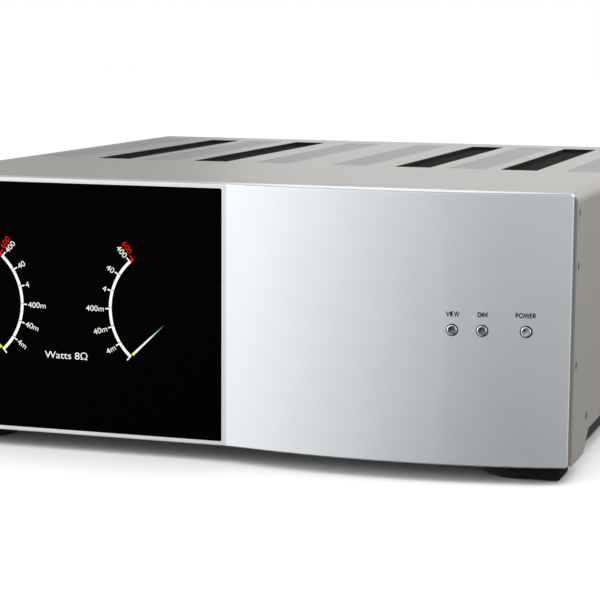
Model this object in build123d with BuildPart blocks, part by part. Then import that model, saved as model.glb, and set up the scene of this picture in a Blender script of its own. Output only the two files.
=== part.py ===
from build123d import *
import os
from math import cos, radians, sin, sqrt

# A full-width stereo power amplifier, one STEP file for each of its pieces.
# Millimetres. +X is to the right seen from the front, +Y to the rear and +Z up. The origin is on the
# surface that the feet stand on, under the middle of the amplifier's outer box.

os.makedirs("parts", exist_ok=True)

# ---- driving dimensions -------------------------------------------------------------------------------
WIDTH = 432.0               # across the cover
HEIGHT = 172.0              # with the feet
DEPTH = 470.0               # front panel's crest to the ends of the loudspeaker terminals
FRONT_Y = -DEPTH / 2
REAR_Y = DEPTH / 2

# front panel: flat on the left, a convex arc in plan on the right
PANEL_BOTTOM_Z = 10.5
PANEL_HALF_W = 214.5
PANEL_T = 10.5
WING_START_X = 4.0
WING_CREST_X = 96.0
WING_CREST = 10.0
WING_R = ((WING_CREST_X - WING_START_X) ** 2 + WING_CREST ** 2) / (2 * WING_CREST)
FACE_Y = FRONT_Y + WING_CREST
PANEL_BACK_Y = FACE_Y + PANEL_T
PANEL_CORNER_R = 2.0
PANEL_EDGE_R = 0.8

# display
GLASS_X = (-205.0, 1.0)
GLASS_Z = (13.4, 169.0)
GLASS_T = 2.5
GLASS_CORNER_R = 1.2
GLASS_GAP = 0.15
GLASS_SET_BACK = 0.1
GLASS_LEDGE = 5.0
MODULE_GAP = 0.5

# push buttons in the wing
BUTTONS = {"view": 147.0, "dim": 164.4, "power": 189.5}
BUTTON_Z = 91.45
BUTTON_HOLE_R = 3.6
BUTTON_R = 3.2
BUTTON_PROUD = 0.9
BUTTON_BEVEL = 0.75
BUTTON_DISH_R = 2.1
BUTTON_DISH = 0.25
BUTTON_CAP_L = 6.0
BUTTON_STEM_R = 1.8
BUTTON_STEM_END_Y = PANEL_BACK_Y + 0.5

# cover, one sheet bent round the top and both sides
COVER_T = 2.4
COVER_BEND_R = 6.0
GROOVE = 1.1
COVER_FRONT_Y = PANEL_BACK_Y + GROOVE
COVER_REAR_Y = 222.0
PAN_Z = 13.5
COVER_BOTTOM_Z = 11.0
SIDE_EDGE_Z = 23.5
LEG_L = 39.0
LEG_RAMP_L = 17.0
LEG_RAMP_R = 5.0
INNER_X = WIDTH / 2 - COVER_T
INNER_TOP_Z = HEIGHT - COVER_T

# vents in the top: open slots with a grille below, and blind stripes between them
SLOT_W = 25.0
SLOT_Y = (-47.0, 188.0)
SLOT_X = (-146.0, -73.0, 73.0, 146.0)
STRIPE_X = (-190.0, -110.5, -28.0, 28.0, 110.5, 190.0)
STRIPE_DEPTH = 0.7
GRILLE_T = 1.0
GRILLE_BAR_PITCH = 5.0
GRILLE_HOLE_W = 3.2
GRILLE_LEFT = 13.0
GRILLE_RIGHT = 5.0
GRILLE_END = 6.0
GRILLE_SCREW_X = -7.5
GRILLE_SCREW_Y = (-5.0, 72.0, 152.0)

# sheet metal inside
SHEET = 2.0
FRAME_T = 2.5
FLANGE_L = 14.5
SHELL_X = INNER_X - 0.3
SHELL_TOP_Z = INNER_TOP_Z - 0.3
FLOOR_Z = PAN_Z + SHEET
PAN_WALL_Z = 45.0
REAR_PANEL_Y = 214.0
FRAME_Y = PANEL_BACK_Y
FRAME_REAR_Y = FRAME_Y + FLANGE_L
REAR_FLANGE_Y = REAR_PANEL_Y - FLANGE_L

# screws: head radius and height, shank radius and length
M3_BUTTON = (2.5, 1.1, 1.5, 5.0)
M3_PAN = (2.6, 1.6, 1.5, 5.6)
SIDE_SCREW_Y = 7.0
SIDE_SCREW_Z = (70.0, 129.0, 160.0)
LEG_SCREW = (46.8, 32.6)
TOP_SCREW_X = 68.0

# feet
FOOT_R = 26.0
FOOT_CORNER_R = 3.0
FOOT_X = 182.2
FOOT_Y = 183.5
PAD_T = 0.8
FOOT_BORE_R = 6.0
FOOT_BORE_Z = 8.0

# power supply
TOROID_R = 70.0
TOROID_HOLE_R = 20.0
TOROID_H = 70.0
TOROID_X = 80.0
TOROID_Y = -122.0
TOROID_PAD_T = 2.0
CLAMP_R = 50.0
BOLT_R = 4.0
BOARD_T = 1.6
BOARD_Z = 25.0
CAPACITOR_R = 20.0
CAPACITOR_H = 80.0
CAPACITOR_X = 22.0
CAPACITOR_Y = (-20.0, 25.0, 70.0)
RECTIFIER_Y = (-182.0, -62.0)

# heat sinks, under the open slots
SINK_INNER_X = 60.0
SINK_BASE_T = 8.0
SINK_OUTER_X = 160.0
SINK_Y = SLOT_Y
SINK_TOP_Z = 152.0
FIN_BOTTOM_Z = 22.0
FIN_T = 2.2
FIN_COUNT = 26
TRANSISTOR_COUNT = 8
DRIVER_X = 46.0

# rear connectors
XLR_X = 150.0
RCA_X = 112.0
SIGNAL_Z = 125.0
POSTS = {"left_plus": -158.0, "left_minus": -118.0, "right_minus": 118.0, "right_plus": 158.0}
POST_Z = 62.0
INLET_X = -23.0
INLET_Z = 50.0
ROCKER_X = 26.0
ROCKER_Z = 50.0
TRIGGER_X = 12.0

BASE = (Align.CENTER, Align.CENTER, Align.MIN)
TOP = (Align.CENTER, Align.CENTER, Align.MAX)
FRONTWARD = (0, -1, 0)
REARWARD = (0, 1, 0)
UPWARD = (0, 0, 1)
DOWNWARD = (0, 0, -1)
SIDES = (-1, 1)


# ---- helpers ------------------------------------------------------------------------------------------
def finish(piece, label):
    """Name a finished piece and write it out."""
    piece.part.label = label
    export_step(piece.part, f"parts/{label}.step")


def across(y):
    """The upright plane across the amplifier at depth y, with X to the right and Z up."""
    return Plane.XZ.offset(-y)


def seats(points, normal):
    """One plane at each point, all facing the same way."""
    return [Plane(origin=point, z_dir=normal) for point in points]


def block(x, y, z, mode=Mode.ADD):
    """A box between the lowest and highest x, y and z."""
    with Locations((x[0], y[0], z[0])):
        Box(x[1] - x[0], y[1] - y[0], z[1] - z[0], align=(Align.MIN, Align.MIN, Align.MIN), mode=mode)


def rods(points, normal, radius, length, mode=Mode.ADD):
    """Round rods that stand on the points and grow along the normal."""
    with Locations(*seats(points, normal)):
        Cylinder(radius, length, align=BASE, mode=mode)


def drill(points, normal, radius, length):
    """Round holes that start at the points and run along the normal."""
    rods(points, normal, radius, length, Mode.SUBTRACT)


def hollow(x, y, z):
    """A box-shaped hollow between the lowest and highest x, y and z."""
    block(x, y, z, Mode.SUBTRACT)


def shell_outline(y):
    """The rounded outline, at depth y, of the two sheet-metal trays that close the front and the rear."""
    with BuildSketch(across(y)) as outline:
        with Locations((0, (FLOOR_Z + SHELL_TOP_Z) / 2)):
            RectangleRounded(2 * SHELL_X, SHELL_TOP_Z - FLOOR_Z, 4.0)
    return outline.sketch


def wing_y(x):
    """Depth of the front panel's curved face at x."""
    return FRONT_Y + WING_R - sqrt(WING_R ** 2 - (x - WING_CREST_X) ** 2)


def standoffs(points, normal, length):
    """Round standoffs on points, each with a blind screw hole from its foot."""
    with Locations(*seats(points, normal)):
        Cylinder(2.9, length, align=BASE)
        Cylinder(1.2, length - 1.0, align=BASE, mode=Mode.SUBTRACT)


def screws(label, groups, size):
    """Socket-headed screws as one node: groups of seat points with the direction that the heads face."""
    head_r, head_h, shank_r, shank_l = size
    planes = [plane for points, normal in groups for plane in seats(points, normal)]
    with BuildPart() as group:
        with Locations(*planes):
            Cylinder(head_r, head_h, align=BASE)
            Cylinder(shank_r, shank_l, align=TOP)
        with BuildSketch(*[plane.offset(head_h) for plane in planes]):
            RegularPolygon(head_r * 0.5, 6)
        extrude(amount=-head_h * 0.6, mode=Mode.SUBTRACT)
    finish(group, label)


# ---- screw places that several pieces share -----------------------------------------------------------
HEAD_RECESS = M3_BUTTON[1] + 0.1
FRONT_ROW_Y = COVER_FRONT_Y + SIDE_SCREW_Y
REAR_ROW_Y = REAR_PANEL_Y - SIDE_SCREW_Y
LEG_SCREW_Y = (COVER_FRONT_Y + LEG_SCREW[0], COVER_REAR_Y - LEG_SCREW[0])


def side_screw_points(side):
    """Seats of the cover's screws on one side, at the bottom of their recesses."""
    x = side * (WIDTH / 2 - HEAD_RECESS)
    rows = [(x, y, z) for y in (FRONT_ROW_Y, REAR_ROW_Y) for z in SIDE_SCREW_Z]
    return rows + [(x, y, LEG_SCREW[1]) for y in LEG_SCREW_Y]


def flange_screw_points(side, y):
    """Where the side screws at depth y meet the inner face of a side flange."""
    return [(side * (SHELL_X - SHEET), y, z) for z in SIDE_SCREW_Z]


TOP_SCREW_POINTS = [(side * TOP_SCREW_X, y, HEIGHT - HEAD_RECESS)
                    for side in SIDES for y in (FRONT_ROW_Y, REAR_ROW_Y)]
GRILLE_SCREW_POINTS = [(x - SLOT_W / 2 + GRILLE_SCREW_X, y, HEIGHT - HEAD_RECESS)
                       for x in SLOT_X for y in GRILLE_SCREW_Y]
FOOT_PLACES = {"front_left_foot": (-1, -1), "front_right_foot": (1, -1),
               "rear_left_foot": (-1, 1), "rear_right_foot": (1, 1)}
PANEL_SCREW_POINTS = [(x, FRAME_Y + FRAME_T, z) for x in (-207.8, 12.0, 195.0) for z in (28.0, 152.0)]
PAN_SCREW_POINTS = [(x, y, PAN_Z) for x in (-120.0, 0.0, 120.0) for y in (FRONT_ROW_Y, REAR_ROW_Y)]

# ---- front panel --------------------------------------------------------------------------------------
wing_end = (PANEL_HALF_W, wing_y(PANEL_HALF_W))
with BuildPart() as front_panel:
    with BuildSketch(Plane.XY.offset(PANEL_BOTTOM_Z)):
        with BuildLine():
            Polyline(wing_end, (PANEL_HALF_W, PANEL_BACK_Y), (-PANEL_HALF_W, PANEL_BACK_Y),
                     (-PANEL_HALF_W, FACE_Y), (WING_START_X, FACE_Y))
            ThreePointArc((WING_START_X, FACE_Y), (WING_CREST_X, FRONT_Y), wing_end)
        make_face()
    extrude(amount=HEIGHT - PANEL_BOTTOM_Z)
    fillet(front_panel.edges().filter_by(Axis.Y), PANEL_CORNER_R)
    rim = front_panel.edges().filter_by(lambda edge: edge.bounding_box().max.Y < PANEL_BACK_Y - 1)
    fillet(rim.filter_by(lambda edge: abs(edge.center().X - WING_START_X) > 1), PANEL_EDGE_R)
    # the display's window, stepped to hold the glass
    window_centre = (sum(GLASS_X) / 2, sum(GLASS_Z) / 2)
    window_size = (GLASS_X[1] - GLASS_X[0], GLASS_Z[1] - GLASS_Z[0])
    with BuildSketch(across(FRONT_Y)):
        with Locations(window_centre):
            RectangleRounded(window_size[0] + 2 * GLASS_GAP, window_size[1] + 2 * GLASS_GAP, GLASS_CORNER_R)
    extrude(amount=-(WING_CREST + GLASS_SET_BACK + GLASS_T), mode=Mode.SUBTRACT)
    hollow((GLASS_X[0] + GLASS_LEDGE, GLASS_X[1] - GLASS_LEDGE), (FRONT_Y, PANEL_BACK_Y),
          (GLASS_Z[0] + GLASS_LEDGE, GLASS_Z[1] - GLASS_LEDGE))
    drill([(x, FRONT_Y, BUTTON_Z) for x in BUTTONS.values()], REARWARD, BUTTON_HOLE_R, DEPTH / 2)
    drill([(x, PANEL_BACK_Y, z) for x, y, z in PANEL_SCREW_POINTS], FRONTWARD, M3_BUTTON[2], 3.5)
finish(front_panel, "front_panel")

# ---- display ------------------------------------------------------------------------------------------
GLASS_BACK_Y = FACE_Y + GLASS_SET_BACK + GLASS_T
with BuildPart() as display_glass:
    with BuildSketch(across(GLASS_BACK_Y)):
        with Locations(window_centre):
            RectangleRounded(*window_size, GLASS_CORNER_R)
    extrude(amount=GLASS_T)
    chamfer(display_glass.faces().sort_by(Axis.Y)[0].edges(), 0.25)
finish(display_glass, "display_glass")

with BuildPart() as display_module:
    inset = GLASS_LEDGE + MODULE_GAP
    module_x = (GLASS_X[0] + inset, GLASS_X[1] - inset)
    module_z = (GLASS_Z[0] + inset, GLASS_Z[1] - inset)
    block(module_x, (GLASS_BACK_Y, PANEL_BACK_Y - 0.2), module_z)
    # raised rim of the panel's metal can, round the sunk back
    hollow((module_x[0] + 4, module_x[1] - 4), (PANEL_BACK_Y - 1.4, PANEL_BACK_Y),
           (module_z[0] + 4, module_z[1] - 4))
finish(display_module, "display_module")

DISPLAY_BOARD_Y = -207.0
DISPLAY_BOARD_X = (-176.0, -30.0)
DISPLAY_BOARD_STANDS = [(x, FRAME_Y + FRAME_T, z) for x in (-170.0, -36.0) for z in (38.0, 144.0)]
with BuildPart() as display_board:
    block(DISPLAY_BOARD_X, (DISPLAY_BOARD_Y, DISPLAY_BOARD_Y + BOARD_T), (32.0, 150.0))
    top_y = DISPLAY_BOARD_Y + BOARD_T
    block((-120.0, -92.0), (top_y, top_y + 2.0), (80.0, 108.0))
    block((-75.0, -61.0), (top_y, top_y + 1.5), (90.0, 110.0))
    block((-75.0, -61.0), (top_y, top_y + 1.5), (62.0, 82.0))
    block((-150.0, -142.0), (top_y, top_y + 4.0), (60.0, 120.0))
    with Locations((-103.0, DISPLAY_BOARD_Y, 50.0)):
        Box(52.0, 3.0, 6.0, align=(Align.CENTER, Align.MAX, Align.CENTER))
    drill([(x, DISPLAY_BOARD_Y, z) for x, y, z in DISPLAY_BOARD_STANDS], REARWARD, 1.6, BOARD_T)
finish(display_board, "display_board")

# ---- front frame and button board ---------------------------------------------------------------------
BUTTON_BOARD_Y = -209.0
BUTTON_BOARD_X = (128.0, 206.0)
BUTTON_BOARD_Z = (78.0, 106.0)
BUTTON_BOARD_STANDS = [(x, FRAME_Y + FRAME_T, z) for x in (131.5, 202.5) for z in (81.5, 102.5)]


with BuildPart() as front_frame:
    extrude(shell_outline(FRAME_Y), amount=-FLANGE_L)
    hollow((-SHELL_X + SHEET, SHELL_X - SHEET), (FRAME_Y + FRAME_T, FRAME_REAR_Y),
          (FLOOR_Z + SHEET, SHELL_TOP_Z - SHEET))
    # windows for the display's ribbon cable and for the buttons
    hollow((-135.0, -70.0), (FRAME_Y, FRAME_Y + FRAME_T), (40.0, 60.0))
    hollow((136.0, 200.0), (FRAME_Y, FRAME_Y + FRAME_T), (84.0, 100.0))
    drill([(x, FRAME_Y, z) for x, y, z in PANEL_SCREW_POINTS], REARWARD, M3_BUTTON[2] + 0.1, FRAME_T)
    for side in SIDES:
        drill(flange_screw_points(side, FRONT_ROW_Y), (side, 0, 0), M3_BUTTON[2], SHEET)
        drill([(side * TOP_SCREW_X, FRONT_ROW_Y, SHELL_TOP_Z - SHEET)], UPWARD, M3_BUTTON[2], SHEET)
    drill([(x, y, FLOOR_Z) for x, y, z in PAN_SCREW_POINTS if y < 0], UPWARD, M3_BUTTON[2], SHEET)
finish(front_frame, "front_frame")

with BuildPart() as button_board:
    block(BUTTON_BOARD_X, (BUTTON_BOARD_Y, BUTTON_BOARD_Y + BOARD_T), BUTTON_BOARD_Z)
    with Locations((140.0, BUTTON_BOARD_Y + BOARD_T, 92.0)):
        Box(6.0, 5.0, 14.0, align=(Align.CENTER, Align.MIN, Align.CENTER))
    drill([(x, BUTTON_BOARD_Y, z) for x, y, z in BUTTON_BOARD_STANDS], REARWARD, 1.6, BOARD_T)
finish(button_board, "button_board")

with BuildPart() as tact_switches:
    for x in BUTTONS.values():
        block((x - 3.0, x + 3.0), (BUTTON_BOARD_Y - 3.0, BUTTON_BOARD_Y), (BUTTON_Z - 3.0, BUTTON_Z + 3.0))
        rods([(x, BUTTON_BOARD_Y - 3.0, BUTTON_Z)], FRONTWARD, 1.6, 0.6)
finish(tact_switches, "tact_switches")

for name, x in BUTTONS.items():
    with BuildPart() as button:
        cap_y = wing_y(x) - BUTTON_PROUD
        with Locations(Plane(origin=(x, cap_y, BUTTON_Z), z_dir=REARWARD)):
            Cylinder(BUTTON_R, BUTTON_CAP_L, align=BASE)
        chamfer(button.faces().sort_by(Axis.Y)[0].edges(), BUTTON_BEVEL * 0.6, BUTTON_BEVEL)
        dish_sphere_r = (BUTTON_DISH_R ** 2 + BUTTON_DISH ** 2) / (2 * BUTTON_DISH)
        with Locations((x, cap_y + BUTTON_DISH - dish_sphere_r, BUTTON_Z)):
            Sphere(dish_sphere_r, mode=Mode.SUBTRACT)
        rods([(x, cap_y + BUTTON_CAP_L, BUTTON_Z)], REARWARD, BUTTON_STEM_R,
             BUTTON_STEM_END_Y - cap_y - BUTTON_CAP_L)
    finish(button, f"{name}_button")

# ---- cover --------------------------------------------------------------------------------------------
with BuildPart() as top_cover:
    with BuildSketch(across(COVER_FRONT_Y)):
        with BuildLine():
            half_w = WIDTH / 2
            outer = FilletPolyline((-half_w, COVER_BOTTOM_Z), (-half_w, HEIGHT), (half_w, HEIGHT),
                                   (half_w, COVER_BOTTOM_Z), radius=COVER_BEND_R)
            inner = FilletPolyline((-INNER_X, COVER_BOTTOM_Z), (-INNER_X, INNER_TOP_Z),
                                   (INNER_X, INNER_TOP_Z), (INNER_X, COVER_BOTTOM_Z),
                                   radius=COVER_BEND_R - COVER_T)
            Line(outer @ 0, inner @ 0)
            Line(outer @ 1, inner @ 1)
        make_face()
    extrude(amount=-(COVER_REAR_Y - COVER_FRONT_Y))
    # each side stands on a leg at the front and the rear, with a ramp up to the raised edge between them
    with BuildSketch(Plane.YZ.offset(-WIDTH)):
        with BuildLine():
            front_leg = COVER_FRONT_Y + LEG_L
            rear_leg = COVER_REAR_Y - LEG_L
            Polyline((front_leg - 30, 0), (front_leg - 30, COVER_BOTTOM_Z), (front_leg, COVER_BOTTOM_Z),
                     (front_leg + LEG_RAMP_L, SIDE_EDGE_Z), (rear_leg - LEG_RAMP_L, SIDE_EDGE_Z),
                     (rear_leg, COVER_BOTTOM_Z), (rear_leg + 30, COVER_BOTTOM_Z),
                     (rear_leg + 30, 0), close=True)
        make_face()
        ramp_y = (front_leg, front_leg + LEG_RAMP_L, rear_leg - LEG_RAMP_L, rear_leg)
        corners = vertices().filter_by(lambda v: any(abs(v.X - y) < 0.1 for y in ramp_y))
        fillet(corners, LEG_RAMP_R)
    extrude(amount=2 * WIDTH, mode=Mode.SUBTRACT)
    for x in SLOT_X:
        hollow((x - SLOT_W / 2, x + SLOT_W / 2), SLOT_Y, (INNER_TOP_Z, HEIGHT))
    for x in STRIPE_X:
        hollow((x - SLOT_W / 2, x + SLOT_W / 2), SLOT_Y, (HEIGHT - STRIPE_DEPTH, HEIGHT))
    for side in SIDES:
        outward = (side, 0, 0)
        drill(side_screw_points(side), outward, M3_BUTTON[0] + 0.2, HEAD_RECESS)
        through = [(side * INNER_X, y, z) for x, y, z in side_screw_points(side)]
        drill(through, outward, M3_BUTTON[2] + 0.1, COVER_T)
    top_points = TOP_SCREW_POINTS + GRILLE_SCREW_POINTS
    drill(top_points, UPWARD, M3_BUTTON[0] + 0.2, HEAD_RECESS)
    drill([(x, y, INNER_TOP_Z) for x, y, z in top_points], UPWARD, M3_BUTTON[2] + 0.1, COVER_T)
finish(top_cover, "top_cover")

cover_groups = [(side_screw_points(side), (side, 0, 0)) for side in SIDES] + [(TOP_SCREW_POINTS, UPWARD)]
screws("cover_screws", cover_groups, M3_BUTTON)
screws("grille_screws", [(GRILLE_SCREW_POINTS, UPWARD)], (M3_BUTTON[0], M3_BUTTON[1], M3_BUTTON[2], 3.5))

with BuildPart() as vent_grilles:
    for x in SLOT_X:
        block((x - SLOT_W / 2 - GRILLE_LEFT, x + SLOT_W / 2 + GRILLE_RIGHT),
              (SLOT_Y[0] - GRILLE_END, SLOT_Y[1] + GRILLE_END), (INNER_TOP_Z - GRILLE_T, INNER_TOP_Z))
    hole_rows = int((SLOT_Y[1] - SLOT_Y[0]) / GRILLE_BAR_PITCH)
    for x in SLOT_X:
        with Locations((x, sum(SLOT_Y) / 2, INNER_TOP_Z)):
            with GridLocations(SLOT_W / 2, GRILLE_BAR_PITCH, 2, hole_rows):
                Box(SLOT_W / 2 - 2.0, GRILLE_HOLE_W, GRILLE_T, align=TOP, mode=Mode.SUBTRACT)
    drill([(x, y, INNER_TOP_Z - GRILLE_T) for x, y, z in GRILLE_SCREW_POINTS], UPWARD, M3_BUTTON[2],
          GRILLE_T)
finish(vent_grilles, "vent_grilles")

# ---- base pan and feet --------------------------------------------------------------------------------
FOOT_SCREW = (4.4, 3.0, 2.5, 7.0)
with BuildPart() as base_pan:
    block((-SHELL_X, SHELL_X), (FRAME_Y + 0.3, REAR_PANEL_Y), (PAN_Z, FLOOR_Z))
    for side in SIDES:
        wall = sorted((side * (SHELL_X - SHEET), side * SHELL_X))
        block(wall, (FRAME_REAR_Y + 0.3, REAR_FLANGE_Y - 0.3), (FLOOR_Z, PAN_WALL_Z))
        leg_screws = [(side * (SHELL_X - SHEET), y, LEG_SCREW[1]) for y in LEG_SCREW_Y]
        drill(leg_screws, (side, 0, 0), M3_BUTTON[2], SHEET)
        # air slots below each heat sink
        with Locations((side * (SINK_INNER_X + SINK_OUTER_X + SINK_BASE_T) / 2, sum(SINK_Y) / 2, PAN_Z)):
            with GridLocations(0, 14.0, 1, 15):
                Box(76.0, 5.0, SHEET, align=BASE, mode=Mode.SUBTRACT)
    foot_centres = [(sx * FOOT_X, sy * FOOT_Y, PAN_Z) for sx, sy in FOOT_PLACES.values()]
    drill(foot_centres, UPWARD, FOOT_SCREW[2] + 0.1, SHEET)
    drill(PAN_SCREW_POINTS, UPWARD, M3_BUTTON[2] + 0.1, SHEET)
    drill([(side * TOROID_X, TOROID_Y, PAN_Z) for side in SIDES], UPWARD, BOLT_R + 0.1, SHEET)
finish(base_pan, "base_pan")


for name, (side_x, side_y) in FOOT_PLACES.items():
    place = Plane(origin=(side_x * FOOT_X, side_y * FOOT_Y, PAD_T))
    with BuildPart() as foot:
        with BuildSketch(place):
            Circle(FOOT_R)
            with Locations((side_x * FOOT_R / 2, side_y * FOOT_R / 2)):
                Rectangle(FOOT_R, FOOT_R)
            fillet(vertices().sort_by_distance((side_x * FOOT_R, side_y * FOOT_R, 0))[0], FOOT_CORNER_R)
        extrude(amount=PAN_Z - PAD_T)
        chamfer(foot.faces().sort_by(Axis.Z)[0].edges(), 0.3)
        with Locations(place):
            Cylinder(FOOT_BORE_R, FOOT_BORE_Z - PAD_T, align=BASE, mode=Mode.SUBTRACT)
            Cylinder(FOOT_SCREW[2] + 0.1, PAN_Z, align=BASE, mode=Mode.SUBTRACT)
    finish(foot, name)

with BuildPart() as foot_pads:
    for side_x, side_y in FOOT_PLACES.values():
        with BuildSketch(Plane(origin=(side_x * FOOT_X, side_y * FOOT_Y, 0))):
            Circle(FOOT_R - 2.0)
            Circle(FOOT_BORE_R + 1.0, mode=Mode.SUBTRACT)
        extrude(amount=PAD_T)
finish(foot_pads, "foot_pads")
screws("foot_screws", [([(x, y, FOOT_BORE_Z) for x, y, z in foot_centres], DOWNWARD)], FOOT_SCREW)

# ---- rear panel and side rails ------------------------------------------------------------------------
XLR_HOLE_R = 12.0
RCA_HOLE_R = 5.0
POST_HOLE_R = 6.0
TRIGGER_HOLE_R = 3.5
INLET_BODY = (30.0, 32.0)
ROCKER_BODY = (16.0, 27.0)
XLR_SCREWS = [(side * XLR_X + dx, SIGNAL_Z + dz) for side in SIDES
              for dx, dz in ((-9.5, -12.0), (9.5, 12.0))]
INLET_SCREWS = [(INLET_X + dx, INLET_Z) for dx in (-20.0, 20.0)]
with BuildPart() as rear_panel:
    extrude(shell_outline(REAR_FLANGE_Y), amount=-FLANGE_L)
    hollow((-SHELL_X + SHEET, SHELL_X - SHEET), (REAR_FLANGE_Y, REAR_PANEL_Y - SHEET),
          (FLOOR_Z + SHEET, SHELL_TOP_Z - SHEET))
    sheet_y = REAR_PANEL_Y - SHEET
    drill([(side * XLR_X, sheet_y, SIGNAL_Z) for side in SIDES], REARWARD, XLR_HOLE_R, SHEET)
    drill([(side * RCA_X, sheet_y, SIGNAL_Z) for side in SIDES], REARWARD, RCA_HOLE_R, SHEET)
    drill([(side * TRIGGER_X, sheet_y, SIGNAL_Z) for side in SIDES], REARWARD, TRIGGER_HOLE_R, SHEET)
    drill([(x, sheet_y, POST_Z) for x in POSTS.values()], REARWARD, POST_HOLE_R, SHEET)
    for x, z, (wide, high) in ((INLET_X, INLET_Z, INLET_BODY), (ROCKER_X, ROCKER_Z, ROCKER_BODY)):
        hollow((x - wide / 2, x + wide / 2), (sheet_y, REAR_PANEL_Y), (z - high / 2, z + high / 2))
    drill([(x, sheet_y, z) for x, z in XLR_SCREWS + INLET_SCREWS], REARWARD, M3_PAN[2], SHEET)
    for side in SIDES:
        drill(flange_screw_points(side, REAR_ROW_Y), (side, 0, 0), M3_BUTTON[2], SHEET)
        drill([(side * TOP_SCREW_X, REAR_ROW_Y, SHELL_TOP_Z - SHEET)], UPWARD, M3_BUTTON[2], SHEET)
    drill([(x, y, FLOOR_Z) for x, y, z in PAN_SCREW_POINTS if y > 0], UPWARD, M3_BUTTON[2], SHEET)
finish(rear_panel, "rear_panel")

RAIL_T = 1.6
RAIL_BOTTOM_Z = 150.0
RAIL_LIP_X = 200.0
with BuildPart() as side_rails:
    for side in SIDES:
        with BuildSketch(across(FRAME_REAR_Y)):
            with BuildLine():
                outer_x = side * SHELL_X
                inner_x = side * (SHELL_X - RAIL_T)
                lip_x = side * RAIL_LIP_X
                Polyline((outer_x, RAIL_BOTTOM_Z), (outer_x, SHELL_TOP_Z), (lip_x, SHELL_TOP_Z),
                         (lip_x, SHELL_TOP_Z - RAIL_T), (inner_x, SHELL_TOP_Z - RAIL_T),
                         (inner_x, RAIL_BOTTOM_Z), close=True)
            make_face()
            fillet(vertices().sort_by_distance((outer_x, SHELL_TOP_Z, 0))[0], 4.0)
            fillet(vertices().sort_by_distance((inner_x, SHELL_TOP_Z - RAIL_T, 0))[0], 4.0 - RAIL_T)
        extrude(amount=-(REAR_FLANGE_Y - FRAME_REAR_Y))
finish(side_rails, "side_rails")

# ---- transformers -------------------------------------------------------------------------------------
TOROID_Z = FLOOR_Z + TOROID_PAD_T
CLAMP_Z = TOROID_Z + TOROID_H + TOROID_PAD_T
CLAMP_T = 2.0
CLAMP_DIP = 6.0
for name, side in (("left", -1), ("right", 1)):
    with BuildPart() as transformer:
        with Locations((side * TOROID_X, TOROID_Y, TOROID_Z)):
            Cylinder(TOROID_R, TOROID_H, align=BASE)
        fillet(transformer.edges().filter_by(GeomType.CIRCLE), 14.0)
        with Locations((side * TOROID_X, TOROID_Y, TOROID_Z)):
            Cylinder(TOROID_HOLE_R, TOROID_H, align=BASE, mode=Mode.SUBTRACT)
        circles = transformer.edges().filter_by(GeomType.CIRCLE)
        fillet(circles.filter_by(lambda edge: edge.radius < TOROID_HOLE_R + 1), 8.0)
    finish(transformer, f"{name}_transformer")

with BuildPart() as transformer_pads:
    for side in SIDES:
        for z in (FLOOR_Z, TOROID_Z + TOROID_H):
            with BuildSketch(Plane(origin=(side * TOROID_X, TOROID_Y, z))):
                Circle(CLAMP_R)
                Circle(TOROID_HOLE_R + 9.0, mode=Mode.SUBTRACT)
            extrude(amount=TOROID_PAD_T)
finish(transformer_pads, "transformer_pads")

with BuildPart() as transformer_clamps:
    for side in SIDES:
        axis_place = Plane(origin=(side * TOROID_X, TOROID_Y, 0), x_dir=(1, 0, 0), z_dir=(0, -1, 0))
        with BuildSketch(axis_place):
            with BuildLine():
                dip_z = CLAMP_Z - CLAMP_DIP
                bore_r = BOLT_R + 0.2
                Polyline((bore_r, dip_z), (TOROID_HOLE_R - 4.0, dip_z), (TOROID_HOLE_R + 6.0, CLAMP_Z),
                         (CLAMP_R, CLAMP_Z), (CLAMP_R, CLAMP_Z + CLAMP_T),
                         (TOROID_HOLE_R + 5.0, CLAMP_Z + CLAMP_T), (TOROID_HOLE_R - 5.0, dip_z + CLAMP_T),
                         (bore_r, dip_z + CLAMP_T), close=True)
            make_face()
        revolve(axis=Axis((side * TOROID_X, TOROID_Y, 0), (0, 0, 1)))
finish(transformer_clamps, "transformer_clamps")

with BuildPart() as transformer_bolts:
    for side in SIDES:
        head_z = CLAMP_Z - CLAMP_DIP + CLAMP_T
        with Locations((side * TOROID_X, TOROID_Y, PANEL_BOTTOM_Z)):
            Cylinder(BOLT_R, head_z - PANEL_BOTTOM_Z, align=BASE)
        with BuildSketch(Plane(origin=(side * TOROID_X, TOROID_Y, head_z))):
            RegularPolygon(7.5, 6)
        extrude(amount=5.3)
        with BuildSketch(Plane(origin=(side * TOROID_X, TOROID_Y, PANEL_BOTTOM_Z))):
            RegularPolygon(7.5, 6)
        extrude(amount=PAN_Z - PANEL_BOTTOM_Z)
finish(transformer_bolts, "transformer_bolts")

# ---- power supply board -------------------------------------------------------------------------------
PSU_X = (-44.0, 44.0)
PSU_Y = (-45.0, 95.0)
MAINS_BOARD_Y = (102.0, 182.0)
PSU_STANDS = [(x, y, FLOOR_Z) for x in (-40.0, 40.0) for y in (-41.0, 91.0)]
MAINS_STANDS = [(x, y, FLOOR_Z) for x in (-40.0, 40.0) for y in (106.0, 178.0)]
BOARD_TOP_Z = BOARD_Z + BOARD_T
with BuildPart() as power_supply_board:
    block(PSU_X, PSU_Y, (BOARD_Z, BOARD_TOP_Z))
    for y in (-44.4, 91.2):
        block((-30.0, 30.0), (y, y + 3.2), (BOARD_TOP_Z, BOARD_TOP_Z + 8.0))
    drill([(x, y, BOARD_Z) for x, y, z in PSU_STANDS], UPWARD, 1.6, BOARD_T)
finish(power_supply_board, "power_supply_board")

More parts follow.
